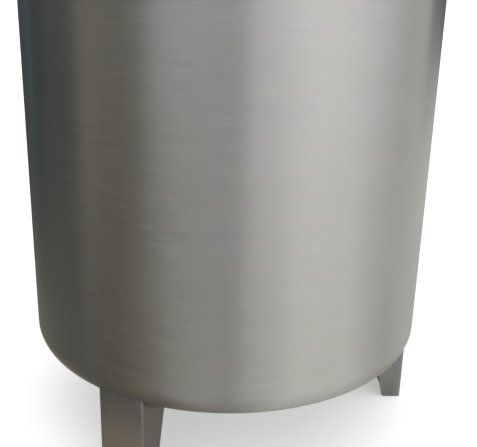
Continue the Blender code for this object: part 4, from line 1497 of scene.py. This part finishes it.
def tube(name, path, radius, sides=24):
    """A circle carried along a path in the plane y = 0, closed at both ends.

    With n the path's normal in its plane, its points are path + radius (cos t n + sin t y).
    """
    normal = unit(np.gradient(path, axis=0))[:, None, ::-1] * (1.0, 0.0, -1.0)
    t = np.linspace(0.0, math.tau, sides + 1)
    ring = path[:, None] + radius * (np.cos(t)[:, None] * normal + np.sin(t)[:, None] * (0.0, 1.0, 0.0))
    middles = np.broadcast_to(path[:, None], ring.shape)
    grid = np.concatenate((middles[:1], ring, middles[-1:]))
    far = far_along(path)
    far = np.concatenate((far[:1] - radius, far, far[-1:] + radius))
    return surface(name, [grid], [grid_of(radius * t, far[:, None])], outwards=True)


foot = float(lid_height((HANDLE_HALF, 0.0))) - RODS_IN
shoulder = HANDLE_TOP - HANDLE_BEND
upright = np.linspace((-HANDLE_HALF, foot), (-HANDLE_HALF, shoulder), HANDLE_STEPS + 1)[:-1]
bend = arc((HANDLE_BEND - HANDLE_HALF, shoulder), HANDLE_BEND, math.pi, math.pi / 2, HANDLE_STEPS)
side = np.concatenate((upright, bend))
line = np.concatenate((side, side[::-1] * (-1.0, 1.0)))
handle = tube("lid_handle", grid_of(line[:, 0], 0.0, line[:, 1]), ROD)
dress(handle, turned_steel, "fitting_steel", "manway_handle")
report(handle)

# %% Lugs and foot plates
LUG_AT = 0.385
LUG_HALF = 0.032
LUG_HOLE = 0.014
LUG_THICK = 0.008
LUG_EASE = 0.0008
LUG_BASE_POINTS = 12
LUG_ARC_STEPS = 24
FOOT_PLATE = 0.006
FOOT_REACH = 0.042


def top_height(place):
    """Height of the top head's outer side over points (x, y)."""
    return TOP_TANGENT + crown_drop(lengths(np.asarray(place, float))[..., 0])


def low_height(place):
    """Height of the bottom head's outer side over points (x, y)."""
    return TANGENT - crown_drop(lengths(np.asarray(place, float))[..., 0])


hole_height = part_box("lifting_lug_front")[1].z - LUG_HALF
base_y = np.linspace(-LUG_AT - LUG_HALF, -LUG_AT + LUG_HALF, LUG_BASE_POINTS)
base = np.column_stack((base_y, top_height(grid_of(0.0, base_y))))
crest = arc((-LUG_AT, hole_height), LUG_HALF, 0.0, math.pi, LUG_ARC_STEPS)
lug_outline = eased(np.concatenate((base, crest)), SHARP_EASE)
lug_side = LUG_THICK / 2
lug = slab("lug", lug_outline, -lug_side, lug_side, LUG_EASE, (-LUG_AT, hole_height), LUG_HOLE)
moved(lug, Matrix(((0, 0, 1, 0), (1, 0, 0, 0), (0, 1, 0, 0), (0, 0, 0, 1))))

side = LEG_HALF - PLATE - GAP
low = (-side, -LEG_FACE + PLATE + GAP)
foot_outline = rounded_box(low, (side, -LEG_FACE + FOOT_REACH), BEND - PLATE)
foot_middle = (0.0, -LEG_FACE + FOOT_REACH / 2)
foot_plate = slab("foot", foot_outline, 0.0, FOOT_PLATE, SHARP_EASE, foot_middle)
for count, name in enumerate(LEG_NAMES):
    around = Matrix.Rotation(count * LEG_STEP, 4, "Z")
    lug_there = copy_of(lug, "lug_" + name, around)
    foot_there = copy_of(foot_plate, "foot_" + name, around)
    dress(lug_there, lug_steel, "tank_steel", "lifting_lug_" + name)
    dress(foot_there, leg_steel, "leg_steel", "foot_plate_" + name)
used_up(lug, foot_plate)

# %% [markdown]
# ## Welds
#
# Every corner where a plate or a tube meets a head is filled by a weld and ground hollow.
# A weld's cross section is one bend between the two surfaces, so the piece is that bend
# carried along the corner. Welds inside the legs are left as they were laid, with the fine
# scales of the torch, and they run out thin at both ends.

# %% Welds
NECK_WELD = 0.005
LUG_WELD = 0.005
LEG_WELD = 0.005
HANDLE_WELD = 0.004
WELD_STEPS = 7
WELD_BAND = 0.01
NEAR = 0.0005
BURIED = 0.2
ROD_WELD_SIDES = 32


def circle(centre, radius, count):
    """Points on a circle and their directions away from its centre, closed."""
    away = directions(np.linspace(0.0, math.tau, count + 1))
    return np.asarray(centre) + radius * away, away


def weld(name, corner_at, away, height, up, width):
    """The bend between an upright wall and a surface, along their corner.

    corner_at and away hold (x, y): the corner's points and the way out from the wall. The
    bend's point at s is corner + width ((1 - s)^2 wall + s^2 out), with wall up or down the
    upright and out along the surface. Where the width is 0 the weld closes to a point.
    """
    corner, beyond = (raised(at, height(at)) for at in (corner_at, corner_at + NEAR * away))
    out = unit(beyond - corner)
    wall = np.array((0.0, 0.0, up))
    width = np.broadcast_to(width, len(corner))[:, None]
    s = np.linspace(0.0, 1.0, WELD_STEPS + 1)[:, None, None]
    face = corner + width * ((1 - s) ** 2 * wall + s**2 * out)
    back = corner - BURIED * width * (wall + out)
    grid = np.concatenate((face, back[None], face[:1]))
    across = np.linspace(0.0, WELD_BAND, len(grid))[:, None]
    return surface(name, [grid], [grid_of(across, far_along(corner))], outwards=True)


neck_welds = (
    ("inlet_weld", middle_of("inlet_neck"), TUBE, TURNED_SIDES, top_height, 1.0, NECK_WELD),
    ("vent_weld", middle_of("vent_neck"), TUBE, TURNED_SIDES, top_height, 1.0, NECK_WELD),
    ("outlet_weld", (0.0, 0.0), TUBE, TURNED_SIDES, low_height, -1.0, NECK_WELD),
    ("manway_weld", (0.0, 0.0), MANWAY, AROUND, top_height, 1.0, NECK_WELD),
    ("handle_weld_left", (-HANDLE_HALF, 0.0), ROD, ROD_WELD_SIDES, lid_height, 1.0, HANDLE_WELD),
    ("handle_weld_right", (HANDLE_HALF, 0.0), ROD, ROD_WELD_SIDES, lid_height, 1.0, HANDLE_WELD),
)
welds = [weld(name, *circle(middle, radius, count), height, up, width)
         for name, middle, radius, count, height, up, width in neck_welds]
print(len(welds), "welds round tubes")

# %% Welds of lugs and legs
LUG_WELD_POINTS = 120
LUG_WELD_CORNER = 0.002
LEG_WELD_POINTS = 960
SCALE_LENGTH = 0.0022
SCALE_SIZE = 0.05
RUN_OUT = 0.006


def spread(points, count):
    """The line's points again, at even distances along it, and those distances."""
    far = far_along(points)
    even = np.linspace(0.0, far[-1], count)
    return np.column_stack([np.interp(even, far, column) for column in points.T]), even


lug_base = rounded_box(
    (-lug_side, -LUG_AT - LUG_HALF), (lug_side, -LUG_AT + LUG_HALF), LUG_WELD_CORNER, 8)
lug_at, _ = spread(looped(lug_base), LUG_WELD_POINTS)
lug_away = rightwards(np.gradient(lug_at, axis=0))
lug_away[-1] = lug_away[0]
inside_path = leg_path(PLATE)
inside_at = np.column_stack(leg_place(inside_path, leg_top(inside_path)))
leg_at, leg_far = spread(inside_at, LEG_WELD_POINTS)
leg_away = -rightwards(np.gradient(leg_at, axis=0))
run_out = np.clip(np.minimum(leg_far, leg_far[-1] - leg_far) / RUN_OUT, 0.0, 1.0)
scales = 1.0 + SCALE_SIZE * np.cos(math.tau * leg_far / SCALE_LENGTH)
leg_width = LEG_WELD * np.sqrt(run_out) * scales
plate_welds = {
    "lug_weld_": (lug_at, lug_away, top_height, 1.0, LUG_WELD),
    "leg_weld_": (leg_at, leg_away, low_height, -1.0, leg_width),
}
for count, name in enumerate(LEG_NAMES):
    for kind, (at, away, *rest) in plate_welds.items():
        there = (turned_about(count * LEG_STEP, flat) for flat in (at, away))
        welds.append(weld(kind + name, *there, *rest))
for piece in welds:
    dress(piece, weld_steel, "tank_steel")
report(*welds)

# %% [markdown]
# ## A studio to mirror
#
# A photographer lights steel by what stands round it: large pale panels with soft edges,
# and dark ones that give it shape. Area lamps could do this too, but on a mirror-like wall
# each lamp shows as a hard rectangle. Here the panels are painted on the sky, one over the
# other, each with its place, its width, its soft edge, its height and its colour.
#
# Azimuth 0 is behind the camera and positive to its right, in degrees. The wall is seen
# from above, so it mirrors what lies between the horizon and 30 degrees below it. The
# panels that reach further down are for the knuckle and the legs. A panel's cover below 1
# lets what lies under it show through. The camera itself sees a plain pale backdrop.

# %% Panels
Panel = namedtuple("Panel", "azimuth half_width edge low high fade colour cover")
PANELS = (
    Panel(0, 200, 10, -6, 90, 8, (0.444, 0.457, 0.492), 1.0),
    Panel(-28, 15, 8, -8, 90, 8, (0.520, 0.545, 0.605), 0.7),
    Panel(58, 47, 5, -90, 90, 10, (0.585, 0.572, 0.540), 1.0),
    Panel(50, 24, 56, -90, 90, 10, (0.928, 0.914, 0.842), 1.0),
    Panel(52, 42, 12, -9, 90, 8, (0.870, 0.915, 1.050), 0.45),
    Panel(50, 18, 30, -5, 90, 8, (1.200, 1.200, 1.200), 0.5),
    Panel(34, 34, 16, -90, -16, 14, (0.420, 0.412, 0.380), 0.43),
    Panel(18, 14, 12, -90, -20, 10, (0.440, 0.430, 0.400), 0.62),
    Panel(20, 14, 12, -90, -55, 14, (0.240, 0.230, 0.200), 0.7),
    Panel(-16, 12, 14, -90, -28, 8, (0.420, 0.410, 0.375), 0.5),
    Panel(140, 40, 40, -90, 90, 10, (0.555, 0.550, 0.530), 1.0),
    Panel(126, 25, 30, -90, -12, 8, (0.620, 0.605, 0.575), 0.7),
    Panel(152, 24, 16, -20, -6, 6, (0.720, 0.710, 0.680), 0.6),
    Panel(152, 27, 12, -6, 90, 6, (0.105, 0.125, 0.115), 1.0),
    Panel(-116, 71, 30, -90, 90, 10, (0.158, 0.154, 0.132), 1.0),
    Panel(-116, 71, 30, -90, -18, 14, (0.079, 0.073, 0.057), 1.0),
    Panel(-60, 17, 13, -90, -9, 8, (0.140, 0.121, 0.080), 0.68),
    Panel(-30, 18, 14, -25, -11, 8, (0.220, 0.208, 0.125), 0.95),
    Panel(-75, 14, 10, -40, -18, 8, (0.080, 0.074, 0.060), 0.8),
    Panel(-46, 9, 8, -90, -26, 6, (0.075, 0.070, 0.058), 0.85),
    Panel(-51, 6, 8, -14, 90, 8, (0.160, 0.160, 0.150), 0.5),
    Panel(2, 6, 8, -90, -10, 8, (0.290, 0.285, 0.265), 0.5),
    Panel(-68, 6, 8, -8, 90, 8, (0.220, 0.216, 0.188), 0.8),
    Panel(-125, 36, 16, -90, 90, 10, (0.060, 0.070, 0.068), 1.0),
    Panel(-103, 11, 10, -8, 90, 6, (0.098, 0.098, 0.093), 1.0),
    Panel(-79, 5, 9, -14, -6, 6, (0.420, 0.373, 0.277), 0.9),
    Panel(-134, 4, 6, -12, 90, 8, (0.074, 0.112, 0.142), 0.75),
    Panel(-142, 44, 30, -90, -22, 12, (0.172, 0.162, 0.133), 0.85),
    Panel(-152, 12, 20, -42, -19, 12, (0.320, 0.285, 0.190), 0.62),
    Panel(-148, 16, 20, -46, -27, 8, (0.400, 0.350, 0.230), 0.8),
    Panel(180, 14, 14, -90, -30, 10, (0.340, 0.310, 0.250), 0.6),
    Panel(-56, 26, 30, -90, -34, 6, (0.205, 0.150, 0.092), 0.4),
    Panel(128, 30, 20, -90, -32, 6, (0.300, 0.282, 0.225), 0.8),
    Panel(0, 200, 10, -90, -74, 16, (0.265, 0.245, 0.200), 0.95),
    Panel(98, 42, 34, -90, -42, 16, (0.620, 0.645, 0.640), 0.85),
    Panel(0, 200, 10, 42, 90, 40, (1.500, 1.500, 1.500), 1.0),
)
ROOM = (0.338, 0.333, 0.312)
BACKDROP = (1.0, 1.0, 1.0)


def paint(tree, below, panel, azimuth, elevation):
    """Lays a panel over the colour below it, as far as its soft mask covers."""
    turned_by = calc(tree, "WRAP", calc(tree, "SUBTRACT", azimuth, panel.azimuth), 180.0, -180.0)
    edges = [(calc(tree, "ABSOLUTE", turned_by), panel.half_width, -panel.edge)]
    if panel.low > -90:
        edges.append((elevation, panel.low, panel.fade))
    if panel.high < 90:
        edges.append((elevation, panel.high, -panel.fade))
    masks = (soft_step(tree, value, at - soft / 2, at + soft / 2) for value, at, soft in edges)
    return blend(tree, product(tree, *masks, panel.cover), below, panel.colour)


world = bpy.data.worlds.new("studio")
bpy.context.scene.world = world
world.use_nodes = True
tree = world.node_tree
to_view = {"Vector": add(tree, "ShaderNodeTexCoord").outputs["Generated"], "Angle": -LEG_TO_VIEW}
facing = add(tree, "ShaderNodeVectorRotate", to_view, rotation_type="Z_AXIS").outputs[0]
right, away, up = split(tree, facing)
azimuth = calc(tree, "DEGREES", calc(tree, "ARCTAN2", right, product(tree, away, -1.0)))
elevation = calc(tree, "DEGREES", calc(tree, "ARCSINE", up))
colour = ROOM
for panel in PANELS:
    colour = paint(tree, colour, panel, azimuth, elevation)
seen = add(tree, "ShaderNodeLightPath").outputs["Is Camera Ray"]
feed(tree, tree.nodes["Background"], {"Color": blend(tree, seen, colour, BACKDROP)})
bpy.context.scene.view_settings.view_transform = "Standard"
print(len(PANELS), "panels in the studio")

# %% [markdown]
# ## The floor
#
# A plain pale floor, so large that its far edge meets the pale backdrop with no line. It
# catches the soft shadow of the tank, and it glows a little, so that the shadow stays
# light. It is hidden from mirror rays, because the panels below the horizon already give
# the wall and the legs what they mirror there.

# %% Floor
FLOOR_SIZE = 600.0
FLOOR_COLOUR = (0.88, 0.88, 0.88, 1.0)
FLOOR_GLOW = 0.4
floor_mesh = bpy.data.meshes.new("floor")
half = FLOOR_SIZE / 2
floor_corners = [(-half, -half, 0), (half, -half, 0), (half, half, 0), (-half, half, 0)]
floor_mesh.from_pydata(floor_corners, [], [(0, 1, 2, 3)])
floor = linked("floor", floor_mesh)
material, tree, shader = empty_material("pale floor")
feed(tree, shader, {
    "Base Color": FLOOR_COLOUR,
    "Roughness": 1.0,
    "Emission Color": (1.0, 1.0, 1.0, 1.0),
    "Emission Strength": FLOOR_GLOW,
})
floor_mesh.materials.append(material)
floor.visible_glossy = False
